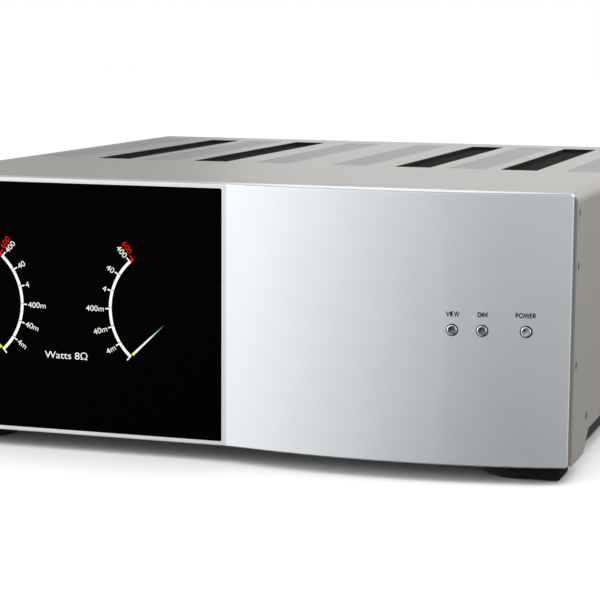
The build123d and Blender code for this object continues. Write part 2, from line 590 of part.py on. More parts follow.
capacitor_places = [(side * CAPACITOR_X, y) for side in SIDES for y in CAPACITOR_Y]
with BuildPart() as filter_capacitors:
    with Locations(*[(x, y, BOARD_TOP_Z) for x, y in capacitor_places]):
        Cylinder(CAPACITOR_R, CAPACITOR_H, align=BASE)
    fillet(filter_capacitors.edges().filter_by(GeomType.CIRCLE).group_by(Axis.Z)[-1], 1.5)
    with Locations(*[(x, y, BOARD_TOP_Z + CAPACITOR_H) for x, y in capacitor_places]):
        Cylinder(CAPACITOR_R - 3.0, 1.0, align=TOP, mode=Mode.SUBTRACT)
finish(filter_capacitors, "filter_capacitors")

with BuildPart() as rectifiers:
    for y in RECTIFIER_Y:
        with BuildSketch(Plane(origin=(0, y, FLOOR_Z))):
            RectangleRounded(28.5, 28.5, 3.0)
            Circle(2.6, mode=Mode.SUBTRACT)
        extrude(amount=10.0)
        with Locations((0, y, FLOOR_Z + 10.0)):
            with GridLocations(18.0, 18.0, 2, 2):
                Box(0.8, 6.3, 8.0, align=BASE)
finish(rectifiers, "rectifiers")

with BuildPart() as mains_board:
    block(PSU_X, MAINS_BOARD_Y, (BOARD_Z, BOARD_TOP_Z))
    block((12.0, 26.0), (150.0, 166.0), (BOARD_TOP_Z, BOARD_TOP_Z + 12.0))
    # two relays and a choke
    for x in (-22.0, 8.0):
        block((x, x + 16.0), (112.0, 141.0), (BOARD_TOP_Z, BOARD_TOP_Z + 20.0))
    with Locations((-24.0, 158.0, BOARD_TOP_Z)):
        Cylinder(11.0, 14.0, align=BASE)
        Cylinder(4.5, 14.0, align=BASE, mode=Mode.SUBTRACT)
    drill([(x, y, BOARD_Z) for x, y, z in MAINS_STANDS], UPWARD, 1.6, BOARD_T)
finish(mains_board, "mains_board")

# ---- amplifier modules --------------------------------------------------------------------------------
TRANSISTOR_PITCH = 27.0
TRANSISTOR_Z = 66.0
DRIVER_Y = (-42.0, 182.0)
DRIVER_Z = (32.0, 142.0)
DRIVER_STANDS = [(y, z) for y in (-36.0, 176.0) for z in (38.0, 136.0)]
fin_pitch = (SINK_Y[1] - SINK_Y[0] - FIN_T) / (FIN_COUNT - 1)
transistor_ys = [sum(SINK_Y) / 2 + (i - (TRANSISTOR_COUNT - 1) / 2) * TRANSISTOR_PITCH
                 for i in range(TRANSISTOR_COUNT)]
for name, side in (("left", -1), ("right", 1)):
    with BuildPart() as heat_sink:
        base_x = sorted((side * SINK_INNER_X, side * (SINK_INNER_X + SINK_BASE_T)))
        block(base_x, SINK_Y, (FLOOR_Z, SINK_TOP_Z))
        fin_centre_x = side * (SINK_INNER_X + SINK_BASE_T + SINK_OUTER_X) / 2
        with Locations((fin_centre_x, sum(SINK_Y) / 2, FIN_BOTTOM_Z)):
            with GridLocations(0, fin_pitch, 1, FIN_COUNT):
                Box(SINK_OUTER_X - SINK_INNER_X - SINK_BASE_T, FIN_T, SINK_TOP_Z - FIN_BOTTOM_Z, align=BASE)
    finish(heat_sink, f"{name}_heat_sink")

    with BuildPart() as driver_board:
        board_x = sorted((side * DRIVER_X, side * (DRIVER_X + BOARD_T)))
        block(board_x, DRIVER_Y, DRIVER_Z)
        # small signal parts on the outer face, towards the heat sink
        outer_x = sorted((side * (DRIVER_X + BOARD_T), side * (DRIVER_X + BOARD_T + 3.0)))
        for y in (-10.0, 30.0, 70.0, 110.0, 150.0):
            block(outer_x, (y, y + 12.0), (104.0, 112.0))
            block(outer_x, (y - 8.0, y), (120.0, 124.0))
        drill([(side * DRIVER_X, y, z) for y, z in DRIVER_STANDS], (side, 0, 0), 1.6, BOARD_T)
    finish(driver_board, f"{name}_driver_board")

with BuildPart() as output_transistors:
    for side in SIDES:
        package_x = sorted((side * SINK_INNER_X, side * (SINK_INNER_X - 5.0)))
        for y in transistor_ys:
            block(package_x, (y - 8.0, y + 8.0), (TRANSISTOR_Z, TRANSISTOR_Z + 20.0))
            for lead_y in (-5.4, 0.0, 5.4):
                lead_x = sorted((side * (SINK_INNER_X - 2.0), side * (DRIVER_X + BOARD_T)))
                block(lead_x, (y + lead_y - 0.5, y + lead_y + 0.5), (TRANSISTOR_Z - 4.0, TRANSISTOR_Z - 3.4))
                block(sorted((side * (SINK_INNER_X - 2.6), side * (SINK_INNER_X - 2.0))),
                      (y + lead_y - 0.5, y + lead_y + 0.5), (TRANSISTOR_Z - 4.0, TRANSISTOR_Z))
finish(output_transistors, "output_transistors")

INPUT_BOARD_Y = 192.6
INPUT_BOARD_X = 176.0
INPUT_BOARD_Z = (104.0, 148.0)
INPUT_REAR_Y = INPUT_BOARD_Y + BOARD_T
INPUT_STANDS = [(side * x, INPUT_REAR_Y, SIGNAL_Z) for side in SIDES for x in (171.0, 60.0)]
with BuildPart() as input_board:
    block((-INPUT_BOARD_X, INPUT_BOARD_X), (INPUT_BOARD_Y, INPUT_REAR_Y), INPUT_BOARD_Z)
    for side in SIDES:
        for x in (30.0, 46.0, 82.0):
            with Locations((side * x, INPUT_REAR_Y, 113.0)):
                Box(9.0, 3.5, 7.0, align=(Align.CENTER, Align.MIN, Align.CENTER))
        for x in (30.0, 82.0):
            rods([(side * x, INPUT_REAR_Y, 136.0)], REARWARD, 4.0, 9.0)
    drill([(x, INPUT_BOARD_Y, z) for x, y, z in INPUT_STANDS], REARWARD, 1.6, BOARD_T)
finish(input_board, "input_board")

with BuildPart() as board_standoffs:
    standoffs(DISPLAY_BOARD_STANDS, REARWARD, DISPLAY_BOARD_Y - FRAME_Y - FRAME_T)
    standoffs(BUTTON_BOARD_STANDS, REARWARD, BUTTON_BOARD_Y - FRAME_Y - FRAME_T)
    standoffs(PSU_STANDS + MAINS_STANDS, UPWARD, BOARD_Z - FLOOR_Z)
    standoffs(INPUT_STANDS, REARWARD, REAR_PANEL_Y - SHEET - INPUT_REAR_Y)
    for side in SIDES:
        standoffs([(side * (DRIVER_X + BOARD_T), y, z) for y, z in DRIVER_STANDS], (side, 0, 0),
                  SINK_INNER_X - DRIVER_X - BOARD_T)
finish(board_standoffs, "board_standoffs")

# ---- signal connectors --------------------------------------------------------------------------------
XLR_DEPTH = 14.0
with BuildPart() as xlr_sockets:
    for side in SIDES:
        with BuildSketch(across(REAR_PANEL_Y)):
            with Locations((side * XLR_X, SIGNAL_Z)):
                RectangleRounded(26.0, 31.0, 2.0)
        extrude(amount=-2.0)
        rods([(side * XLR_X, INPUT_REAR_Y, SIGNAL_Z)], REARWARD, XLR_HOLE_R - 0.2,
             REAR_PANEL_Y - INPUT_REAR_Y)
        mouth_y = REAR_PANEL_Y + 2.0
        drill([(side * XLR_X, mouth_y, SIGNAL_Z)], FRONTWARD, 9.7, XLR_DEPTH)
        rods([(side * XLR_X, mouth_y - XLR_DEPTH, SIGNAL_Z)], REARWARD, 7.6, XLR_DEPTH - 1.0)
        contacts = [(side * XLR_X + 4.2 * cos(radians(a)), mouth_y - 1.0, SIGNAL_Z + 4.2 * sin(radians(a)))
                    for a in (30, 150, 270)]
        drill(contacts, FRONTWARD, 1.3, 10.0)
    drill([(x, REAR_PANEL_Y, z) for x, z in XLR_SCREWS], REARWARD, M3_PAN[2] + 0.1, 2.0)
finish(xlr_sockets, "xlr_sockets")

RCA_R = 4.15
RCA_END_Y = 223.0
with BuildPart() as rca_shells:
    for side in SIDES:
        middle = (side * RCA_X, REAR_PANEL_Y, SIGNAL_Z)
        rods([(side * RCA_X, 206.0, SIGNAL_Z)], REARWARD, RCA_R, RCA_END_Y - 206.0)
        with BuildSketch(Plane(origin=middle, z_dir=REARWARD)):
            RegularPolygon(6.4, 6)
        extrude(amount=2.0)
        drill([(side * RCA_X, 206.0, SIGNAL_Z)], REARWARD, RCA_R - 0.7, RCA_END_Y - 206.0)
finish(rca_shells, "rca_shells")

with BuildPart() as rca_inserts:
    for side in SIDES:
        rods([(side * RCA_X, 206.0, SIGNAL_Z)], REARWARD, RCA_R - 0.7, RCA_END_Y - 0.6 - 206.0)
        rods([(side * RCA_X, INPUT_REAR_Y, SIGNAL_Z)], REARWARD, 5.5, 206.0 - INPUT_REAR_Y)
        drill([(side * RCA_X, RCA_END_Y, SIGNAL_Z)], FRONTWARD, 1.65, 14.0)
finish(rca_inserts, "rca_inserts")

TRIGGER_BORE_R = 1.8
TRIGGER_BORE_L = 14.0
with BuildPart() as trigger_jacks:
    for side in SIDES:
        x = side * TRIGGER_X
        block((x - 4.5, x + 4.5), (INPUT_REAR_Y, REAR_PANEL_Y - SHEET),
              (SIGNAL_Z - 5.0, SIGNAL_Z + 5.0))
        rods([(x, REAR_PANEL_Y - SHEET, SIGNAL_Z)], REARWARD, TRIGGER_HOLE_R - 0.1, SHEET + 2.6)
        with BuildSketch(Plane(origin=(x, REAR_PANEL_Y, SIGNAL_Z), z_dir=REARWARD)):
            RegularPolygon(5.0, 6)
        extrude(amount=2.0)
        drill([(x, REAR_PANEL_Y + 2.6, SIGNAL_Z)], FRONTWARD, TRIGGER_BORE_R, TRIGGER_BORE_L)
finish(trigger_jacks, "trigger_jacks")

# ---- loudspeaker terminals ----------------------------------------------------------------------------
POST_R = 3.5
POST_BORE_R = 2.0
POST_END_Y = REAR_Y - 1.8
POST_BORE_L = 18.0
POST_FLANGE_Y = REAR_PANEL_Y + 3.0
POST_TAIL_Y = 198.0
THREAD_GAP = 0.1
COLLAR_Y = (POST_FLANGE_Y + 0.3, POST_FLANGE_Y + 2.8)
KNOB_Y = (COLLAR_Y[1] + 0.2, REAR_Y)
KNOB_R = 8.5
with BuildPart() as post_bases:
    for x in POSTS.values():
        rods([(x, REAR_PANEL_Y, POST_Z)], REARWARD, 9.5, POST_FLANGE_Y - REAR_PANEL_Y)
        rods([(x, REAR_PANEL_Y - SHEET, POST_Z)], REARWARD, POST_HOLE_R - 0.1, SHEET)
        rods([(x, REAR_PANEL_Y - SHEET - 3.0, POST_Z)], REARWARD, 9.0, 3.0)
    chamfer(post_bases.edges().filter_by(GeomType.CIRCLE).group_by(Axis.Y)[-1], 0.8)
    drill([(x, REAR_PANEL_Y - SHEET - 3.0, POST_Z) for x in POSTS.values()], REARWARD, POST_R, 10.0)
finish(post_bases, "post_bases")

with BuildPart() as post_cores:
    for x in POSTS.values():
        rods([(x, POST_TAIL_Y, POST_Z)], REARWARD, POST_R, POST_END_Y - POST_TAIL_Y)
        drill([(x, POST_END_Y, POST_Z)], FRONTWARD, POST_BORE_R, POST_BORE_L)
        with BuildSketch(Plane(origin=(x, REAR_PANEL_Y - SHEET - 3.0, POST_Z), z_dir=FRONTWARD)):
            RegularPolygon(6.5, 6)
        extrude(amount=4.0)
finish(post_cores, "post_cores")

for name, x in POSTS.items():
    with BuildPart() as collar:
        rods([(x, COLLAR_Y[0], POST_Z)], REARWARD, 7.5, COLLAR_Y[1] - COLLAR_Y[0])
        chamfer(collar.edges().filter_by(GeomType.CIRCLE), 0.4)
        drill([(x, COLLAR_Y[0], POST_Z)], REARWARD, POST_R + THREAD_GAP, COLLAR_Y[1] - COLLAR_Y[0])
    finish(collar, f"{name}_collar")

    with BuildPart() as knob:
        with BuildSketch(Plane(origin=(x, KNOB_Y[0], POST_Z), z_dir=REARWARD)):
            Circle(KNOB_R)
            with PolarLocations(KNOB_R + 1.6, 8):
                Circle(2.6, mode=Mode.SUBTRACT)
        extrude(amount=KNOB_Y[1] - KNOB_Y[0])
        chamfer(knob.faces().sort_by(Axis.Y)[-1].edges(), 0.7)
        drill([(x, KNOB_Y[0], POST_Z)], REARWARD, POST_R + THREAD_GAP, KNOB_Y[1] - KNOB_Y[0])
    finish(knob, f"{name}_knob")

# ---- mains inlet with its fuse drawer -----------------------------------------------------------------
INLET_FACE_Y = REAR_PANEL_Y + 3.0
INLET_BACK_Y = 190.0
INLET_HOLLOW = (24.6, 17.0)
INLET_HOLLOW_Z = INLET_Z + 5.0
INLET_HOLLOW_L = 16.0
DRAWER_Z = INLET_Z - 10.5
DRAWER_SIZE = (22.0, 6.6)
DRAWER_L = 23.0
DRAWER_GAP = 0.3
with BuildPart() as mains_inlet:
    with BuildSketch(across(REAR_PANEL_Y)):
        with Locations((INLET_X, INLET_Z)):
            RectangleRounded(50.0, 34.0, 4.0)
    extrude(amount=-(INLET_FACE_Y - REAR_PANEL_Y))
    with Locations((INLET_X, INLET_BACK_Y, INLET_Z)):
        Box(INLET_BODY[0] - 0.4, REAR_PANEL_Y - INLET_BACK_Y, INLET_BODY[1] - 0.4,
            align=(Align.CENTER, Align.MIN, Align.CENTER))
    with BuildSketch(across(INLET_FACE_Y)):
        with Locations((INLET_X, INLET_HOLLOW_Z)):
            mouth = Rectangle(*INLET_HOLLOW)
        chamfer(mouth.vertices().group_by(Axis.Y)[-1], 4.0)
    extrude(amount=INLET_HOLLOW_L, mode=Mode.SUBTRACT)
    with Locations((INLET_X, INLET_FACE_Y, DRAWER_Z)):
        Box(DRAWER_SIZE[0] + 2 * DRAWER_GAP, DRAWER_L + DRAWER_GAP, DRAWER_SIZE[1] + 2 * DRAWER_GAP,
            align=(Align.CENTER, Align.MAX, Align.CENTER), mode=Mode.SUBTRACT)
    drill([(x, REAR_PANEL_Y, z) for x, z in INLET_SCREWS], REARWARD, M3_PAN[2] + 0.1,
         INLET_FACE_Y - REAR_PANEL_Y)
finish(mains_inlet, "mains_inlet")

INLET_PINS = ((-7.0, -1.5), (7.0, -1.5), (0.0, 2.5))
with BuildPart() as inlet_pins:
    for dx, dz in INLET_PINS:
        with Locations((INLET_X + dx, INLET_FACE_Y - INLET_HOLLOW_L, INLET_HOLLOW_Z + dz)):
            Box(2.0, INLET_HOLLOW_L - 2.5, 4.0, align=(Align.CENTER, Align.MIN, Align.CENTER))
    chamfer(inlet_pins.faces().group_by(Axis.Y)[-1].edges(), 0.5)
finish(inlet_pins, "inlet_pins")

FUSE_R = 2.5
FUSE_L = 20.0
with BuildPart() as fuse_drawer:
    with Locations((INLET_X, INLET_FACE_Y, DRAWER_Z)):
        Box(DRAWER_SIZE[0], DRAWER_L, DRAWER_SIZE[1], align=(Align.CENTER, Align.MAX, Align.CENTER))
        Box(DRAWER_SIZE[0] + 2.0, 1.4, DRAWER_SIZE[1] + 1.4, align=(Align.CENTER, Align.MIN, Align.CENTER))
    # the tray that holds the fuse, open upwards, and a nail groove in the front
    fuse_y = INLET_FACE_Y - 8.0
    with Locations((INLET_X, fuse_y, DRAWER_Z + DRAWER_SIZE[1] / 2)):
        Box(FUSE_L + 0.6, 2 * FUSE_R + 0.6, DRAWER_SIZE[1] - 0.8, align=TOP, mode=Mode.SUBTRACT)
    with Locations((INLET_X, INLET_FACE_Y + 1.4, DRAWER_Z)):
        Box(10.0, 0.7, 1.6, align=(Align.CENTER, Align.MAX, Align.CENTER), mode=Mode.SUBTRACT)
finish(fuse_drawer, "fuse_drawer")

with BuildPart() as mains_fuse:
    fuse_plane = Plane(origin=(INLET_X, fuse_y, DRAWER_Z + 0.4), z_dir=(1, 0, 0))
    with Locations(fuse_plane):
        Cylinder(FUSE_R - 0.15, FUSE_L)
        for end in SIDES:
            with Locations((0, 0, end * (FUSE_L / 2 - 2.5))):
                Cylinder(FUSE_R, 5.0)
finish(mains_fuse, "mains_fuse")

connector_groups = [([(x, REAR_PANEL_Y + 2.0, z) for x, z in XLR_SCREWS], REARWARD),
                    ([(x, INLET_FACE_Y, z) for x, z in INLET_SCREWS], REARWARD)]
chassis_groups = [(PAN_SCREW_POINTS, DOWNWARD), (PANEL_SCREW_POINTS, REARWARD)]
screws("chassis_screws", connector_groups + chassis_groups, M3_PAN)

# ---- mains rocker switch ------------------------------------------------------------------------------
ROCKER_TILT = 10.0
ROCKER_W = 12.0
ROCKER_HALF_H = 10.4
ROCKER_PIVOT_Y = REAR_PANEL_Y - 1.0
ROCKER_FRONT = 4.0
ROCKER_SWEEP_R = sqrt(ROCKER_HALF_H ** 2 + ROCKER_FRONT ** 2)
ROCKER_GAP = 0.4
TRUNNION_R = 1.5
TRUNNION_L = 1.0
trunnion_x = (ROCKER_X - ROCKER_W / 2 - ROCKER_GAP, ROCKER_X + ROCKER_W / 2 + ROCKER_GAP)
trunnion_ends = [(x, ROCKER_PIVOT_Y, ROCKER_Z) for x in trunnion_x]
with BuildPart() as rocker_housing:
    with BuildSketch(across(REAR_PANEL_Y)):
        with Locations((ROCKER_X, ROCKER_Z)):
            RectangleRounded(19.0, 30.0, 1.5)
    extrude(amount=-2.0)
    with Locations((ROCKER_X, 198.0, ROCKER_Z)):
        Box(ROCKER_BODY[0] - 0.3, REAR_PANEL_Y - 198.0, ROCKER_BODY[1] - 0.3,
            align=(Align.CENTER, Align.MIN, Align.CENTER))
    with Locations((ROCKER_X, REAR_PANEL_Y + 2.0, ROCKER_Z)):
        Box(ROCKER_W + 2 * ROCKER_GAP, 14.0, 2 * (ROCKER_SWEEP_R + ROCKER_GAP),
            align=(Align.CENTER, Align.MAX, Align.CENTER), mode=Mode.SUBTRACT)
    for side, end in zip(SIDES, trunnion_ends):
        drill([end], (side, 0, 0), TRUNNION_R + THREAD_GAP, TRUNNION_L + 0.1)
finish(rocker_housing, "rocker_housing")

with BuildPart() as mains_rocker:
    tilt = radians(ROCKER_TILT)
    with BuildSketch(Plane(origin=(ROCKER_X - ROCKER_W / 2, ROCKER_PIVOT_Y, ROCKER_Z),
                           x_dir=(0, cos(tilt), sin(tilt)), z_dir=(1, 0, 0))):
        with BuildLine():
            Polyline((-5.0, -6.0), (ROCKER_FRONT, -ROCKER_HALF_H), (ROCKER_FRONT - 1.6, 0.0),
                     (ROCKER_FRONT, ROCKER_HALF_H), (-5.0, 6.0), close=True)
        make_face()
    extrude(amount=ROCKER_W)
    fillet(mains_rocker.edges().filter_by(Axis.X).group_by(Axis.Y)[-1], 0.5)
    for side, end in zip(SIDES, trunnion_ends):
        rods([end], (side, 0, 0), TRUNNION_R, TRUNNION_L)
        rods([end], (-side, 0, 0), TRUNNION_R, ROCKER_GAP)
finish(mains_rocker, "mains_rocker")
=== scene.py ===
# A stereo power amplifier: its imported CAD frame, with materials, a lit display and fine surface detail.
from math import cos, pi, radians, sin, sqrt

import bmesh
import bpy
from mathutils import Matrix, Vector


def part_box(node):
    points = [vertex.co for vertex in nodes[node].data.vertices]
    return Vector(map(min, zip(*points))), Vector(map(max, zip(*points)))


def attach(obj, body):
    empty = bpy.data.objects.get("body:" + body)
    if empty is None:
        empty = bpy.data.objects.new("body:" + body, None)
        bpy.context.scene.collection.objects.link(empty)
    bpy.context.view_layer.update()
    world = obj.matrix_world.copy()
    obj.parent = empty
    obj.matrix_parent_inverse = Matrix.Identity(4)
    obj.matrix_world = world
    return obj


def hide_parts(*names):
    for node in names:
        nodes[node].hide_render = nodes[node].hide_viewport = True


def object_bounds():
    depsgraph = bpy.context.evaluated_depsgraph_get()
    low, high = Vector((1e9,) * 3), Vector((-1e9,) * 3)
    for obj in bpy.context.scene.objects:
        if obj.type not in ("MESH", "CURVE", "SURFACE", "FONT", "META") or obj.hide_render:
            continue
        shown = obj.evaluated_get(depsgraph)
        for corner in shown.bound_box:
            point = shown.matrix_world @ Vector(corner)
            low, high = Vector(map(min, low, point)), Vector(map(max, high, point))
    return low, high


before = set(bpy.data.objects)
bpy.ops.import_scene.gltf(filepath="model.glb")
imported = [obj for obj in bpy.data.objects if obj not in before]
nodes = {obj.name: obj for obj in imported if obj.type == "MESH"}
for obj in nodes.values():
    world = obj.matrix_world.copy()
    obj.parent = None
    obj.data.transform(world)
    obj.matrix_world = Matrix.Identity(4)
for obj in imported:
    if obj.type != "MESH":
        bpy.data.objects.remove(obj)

MM = 0.001
cad_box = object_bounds()


# ---------------------------------------------------------------- materials

def principled(name, colour, roughness, metallic=0.0, **sockets):
    """A new material and its shader; sockets are more of the shader's inputs, with _ for a space."""
    material = bpy.data.materials.new(name)
    material.use_nodes = True
    shader = material.node_tree.nodes["Principled BSDF"]
    shader.inputs["Base Color"].default_value = (*colour, 1.0)
    shader.inputs["Roughness"].default_value = roughness
    shader.inputs["Metallic"].default_value = metallic
    for label, value in sockets.items():
        shader.inputs[label.replace("_", " ")].default_value = value
    return material, shader


def add_node(material, kind, **inputs):
    """A node of that kind, with its inputs set to values or joined to other nodes' outputs."""
    made = material.node_tree.nodes.new("ShaderNode" + kind)
    for label, value in inputs.items():
        join(material, value, made.inputs[label.replace("_", " ")])
    return made


def join(material, value, socket):
    if isinstance(value, bpy.types.NodeSocket):
        material.node_tree.links.new(value, socket)
    else:
        socket.default_value = value


def noise(material, cell, detail=2.0, stretch=(1.0, 1.0, 1.0)):
    """Soft noise from 0 to 1 whose lumps are about cell metres across, in the object's own metres."""
    place = add_node(material, "TexCoord").outputs["Object"]
    spread = add_node(material, "Mapping", Vector=place, Scale=stretch).outputs["Vector"]
    return add_node(material, "TexNoise", Vector=spread, Scale=1.0 / cell, Detail=detail).outputs["Fac"]


def span(material, value, low, high, start=0.3, end=0.7):
    """value from start to end, spread over low to high."""
    return add_node(material, "MapRange", Value=value, From_Min=start, From_Max=end, To_Min=low,
                    To_Max=high).outputs["Result"]


def calculate(material, operation, one, other):
    """A Math node's result for two values or outputs."""
    result = material.node_tree.nodes.new("ShaderNodeMath")
    result.operation = operation
    join(material, one, result.inputs[0])
    join(material, other, result.inputs[1])
    return result.outputs["Value"]


def blend_colours(material, factor, low, high):
    """From low to high, each a colour or another node's output."""
    mix = material.node_tree.nodes.new("ShaderNodeMix")
    mix.data_type = "RGBA"
    join(material, factor, mix.inputs["Factor"])
    for colour, socket in ((low, mix.inputs[6]), (high, mix.inputs[7])):
        join(material, (*colour, 1.0) if isinstance(colour, tuple) else colour, socket)
    return mix.outputs[2]


def shade(colour, amount):
    return tuple(min(channel * amount, 1.0) for channel in colour)


def mottle(material, shader, colour, cell, depth):
    """The base colour drifts by depth either way over lumps of cell metres."""
    drift = span(material, noise(material, cell, 3.0), 0.0, 1.0)
    tone = blend_colours(material, drift, shade(colour, 1.0 - depth), shade(colour, 1.0 + depth))
    join(material, tone, shader.inputs["Base Color"])


def uneven_gloss(material, shader, cell, low, high):
    join(material, span(material, noise(material, cell, 3.0), low, high), shader.inputs["Roughness"])


def relief(material, shader, height, depth):
    """A bump of depth metres from a height of 0 to 1."""
    bump = add_node(material, "Bump", Height=height, Distance=depth, Strength=1.0)
    join(material, bump.outputs["Normal"], shader.inputs["Normal"])


def blasted_metal(name, colour, roughness, grain=0.0004, depth=0.000012):
    """Bead-blasted and anodised aluminium: a fine even grain with no direction."""
    material, shader = principled(name, colour, roughness, metallic=1.0)
    mottle(material, shader, colour, 0.03, 0.012)
    uneven_gloss(material, shader, 0.0011, roughness - 0.03, roughness + 0.03)
    relief(material, shader, noise(material, grain, 2.0), depth)
    return material


def turned_metal(name, colour, roughness):
    """Lathe-turned or rolled metal, with faint marks."""
    material, shader = principled(name, colour, roughness, metallic=1.0)
    mottle(material, shader, colour, 0.004, 0.03)
    uneven_gloss(material, shader, 0.0006, roughness - 0.05, roughness + 0.07)
    relief(material, shader, noise(material, 0.00025, 2.0, (1.0, 1.0, 6.0)), 0.000004)
    return material


BUTTON_COLOUR = (0.80, 0.81, 0.84)
BUTTON_ROUGHNESS = 0.12
# near black painted shadow of the gap round each button, laid on the cap's outer edge
BUTTON_GAP_SHADOW = (0.05, 0.05, 0.055)
# each button's dish colour is painted reflection shade: the dish is painted darker, the power button's less
# so
BUTTON_DISH_SHADES = {"view_button": (0.11, 0.12, 0.145), "dim_button": (0.11, 0.12, 0.145),
                 "power_button": (0.30, 0.31, 0.33)}
DISH_R = 2.6 * MM
RIM_R = 3.0 * MM


def dish_shaded_metal(node):
    """A turned button with painted shade: its dished middle is painted darker than its polished rim, as the
    dark reflection the concave dish would show, and its outer edge is painted near black as the shadow in the
    gap round it.
    """
    material = turned_metal(node + "_anodising", BUTTON_COLOUR, BUTTON_ROUGHNESS)
    shader = material.node_tree.nodes["Principled BSDF"]
    middle = sum(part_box(node), Vector()) / 2
    flat = add_node(material, "Mapping", Vector=add_node(material, "TexCoord").outputs["Object"],
                    Scale=(1.0, 0.0, 1.0)).outputs["Vector"]
    reach = material.node_tree.nodes.new("ShaderNodeVectorMath")
    reach.operation = "DISTANCE"
    join(material, flat, reach.inputs[0])
    reach.inputs[1].default_value = (middle.x, 0.0, middle.z)
    # rim masks the dish's painted reflection shade; edge masks the painted gap shadow round the cap
    rim = span(material, reach.outputs["Value"], 0.0, 1.0, DISH_R * 0.88, DISH_R * 1.04)
    edge = span(material, reach.outputs["Value"], 0.0, 1.0, RIM_R * 0.97, RIM_R * 1.03)
    polished = blend_colours(material, rim, BUTTON_DISH_SHADES[node], BUTTON_COLOUR)
    join(material, blend_colours(material, edge, polished, BUTTON_GAP_SHADOW), shader.inputs["Base Color"])
    return material


def powder_coat(name, colour, roughness, grain=0.0007, depth=0.00002, level=0.5):
    """Baked powder paint: satin, with a slight orange peel; level is the shader's specular level."""
    material, shader = principled(name, colour, roughness, Specular_IOR_Level=level)
    mottle(material, shader, colour, 0.05, 0.012)
    uneven_gloss(material, shader, 0.002, roughness - 0.04, roughness + 0.04)
    relief(material, shader, noise(material, grain, 3.0), depth)
    return material


def moulded_plastic(name, colour, roughness, grain=0.0003, depth=0.00003, **sockets):
    """Moulded plastic or rubber with a fine spark-eroded texture."""
    material, shader = principled(name, colour, roughness, **sockets)
    mottle(material, shader, colour, 0.01, 0.08)
    uneven_gloss(material, shader, 0.0015, roughness - 0.06, roughness + 0.06)
    relief(material, shader, noise(material, grain, 2.0), depth)
    return material


def black_glass(name):
    """A polished dark window over the display: near black, with faint haze."""
    material, shader = principled(name, (0.0004, 0.0004, 0.0005), 0.04, Specular_IOR_Level=0.012)
    uneven_gloss(material, shader, 0.04, 0.03, 0.06)
    return material


def circuit_board(name):
    """Green solder mask over copper tracks that run from front to back."""
    material, shader = principled(name, (0.012, 0.075, 0.035), 0.35)
    along = span(material, noise(material, 0.004, 1.0, (1.0, 0.05, 1.0)), 0.0, 1.0, 0.46, 0.54)
    tone = blend_colours(material, along, (0.01, 0.06, 0.028), (0.018, 0.105, 0.05))
    join(material, tone, shader.inputs["Base Color"])
    relief(material, shader, along, 0.00003)
    return material


def wound_tape(name):
    """Varnished tape wound on a ring core: uneven in colour, with soft lumps."""
    material, shader = principled(name, (0.36, 0.24, 0.06), 0.4)
    mottle(material, shader, (0.36, 0.24, 0.06), 0.006, 0.15)
    relief(material, shader, noise(material, 0.004, 2.0), 0.0002)
    return material


def clear_fuse(name):
    material, shader = principled(name, (0.8, 0.83, 0.83), 0.1)
    mottle(material, shader, (0.75, 0.78, 0.78), 0.004, 0.05)
    return material


def lit_ink(name, dark, bright, strength):
    """A lit stroke behind the glass, a little uneven as a pixel panel is."""
    material, shader = principled(name, (0.0, 0.0, 0.0), 0.05, Specular_IOR_Level=0.012)
    glow = span(material, noise(material, 0.0015, 2.0), 0.0, 1.0)
    join(material, blend_colours(material, glow, dark, bright), shader.inputs["Emission Color"])
    shader.inputs["Emission Strength"].default_value = strength
    return material


def needle_ink(name, tip, tail):
    """A lit needle: yellow at its tip, then white, then blue as it fades out towards tail."""
    material, shader = principled(name, (0.0, 0.0, 0.0), 0.05, Specular_IOR_Level=0.012)
    along = Vector(tail) - Vector(tip)
    place = add_node(material, "TexCoord").outputs["Object"]
    offset = material.node_tree.nodes.new("ShaderNodeVectorMath")
    offset.operation = "SUBTRACT"
    join(material, place, offset.inputs[0])
    offset.inputs[1].default_value = tip
    travel = material.node_tree.nodes.new("ShaderNodeVectorMath")
    travel.operation = "DOT_PRODUCT"
    join(material, offset.outputs["Vector"], travel.inputs[0])
    travel.inputs[1].default_value = along / along.length_squared
    fade = add_node(material, "ValToRGB", Fac=travel.outputs["Value"])
    stops = ((0.0, YELLOW), (0.075, YELLOW), (0.085, WHITE_LIGHT), (0.55, WHITE_LIGHT),
             (0.78, (0.16, 0.52, 0.62)), (1.0, (0.0, 0.01, 0.015)))
    for share, colour in stops[1:-1]:
        fade.color_ramp.elements.new(share)
    for element, (share, colour) in zip(fade.color_ramp.elements, stops):
        element.position = share
        element.color = (*colour, 1.0)
    join(material, fade.outputs["Color"], shader.inputs["Emission Color"])
    shader.inputs["Emission Strength"].default_value = 1.0
    return material


WHITE_LIGHT = (1.0, 1.0, 0.93)
YELLOW = (0.95, 0.95, 0.02)
PAINT = (0.36, 0.345, 0.325)
INLAY = (0.29, 0.295, 0.29)

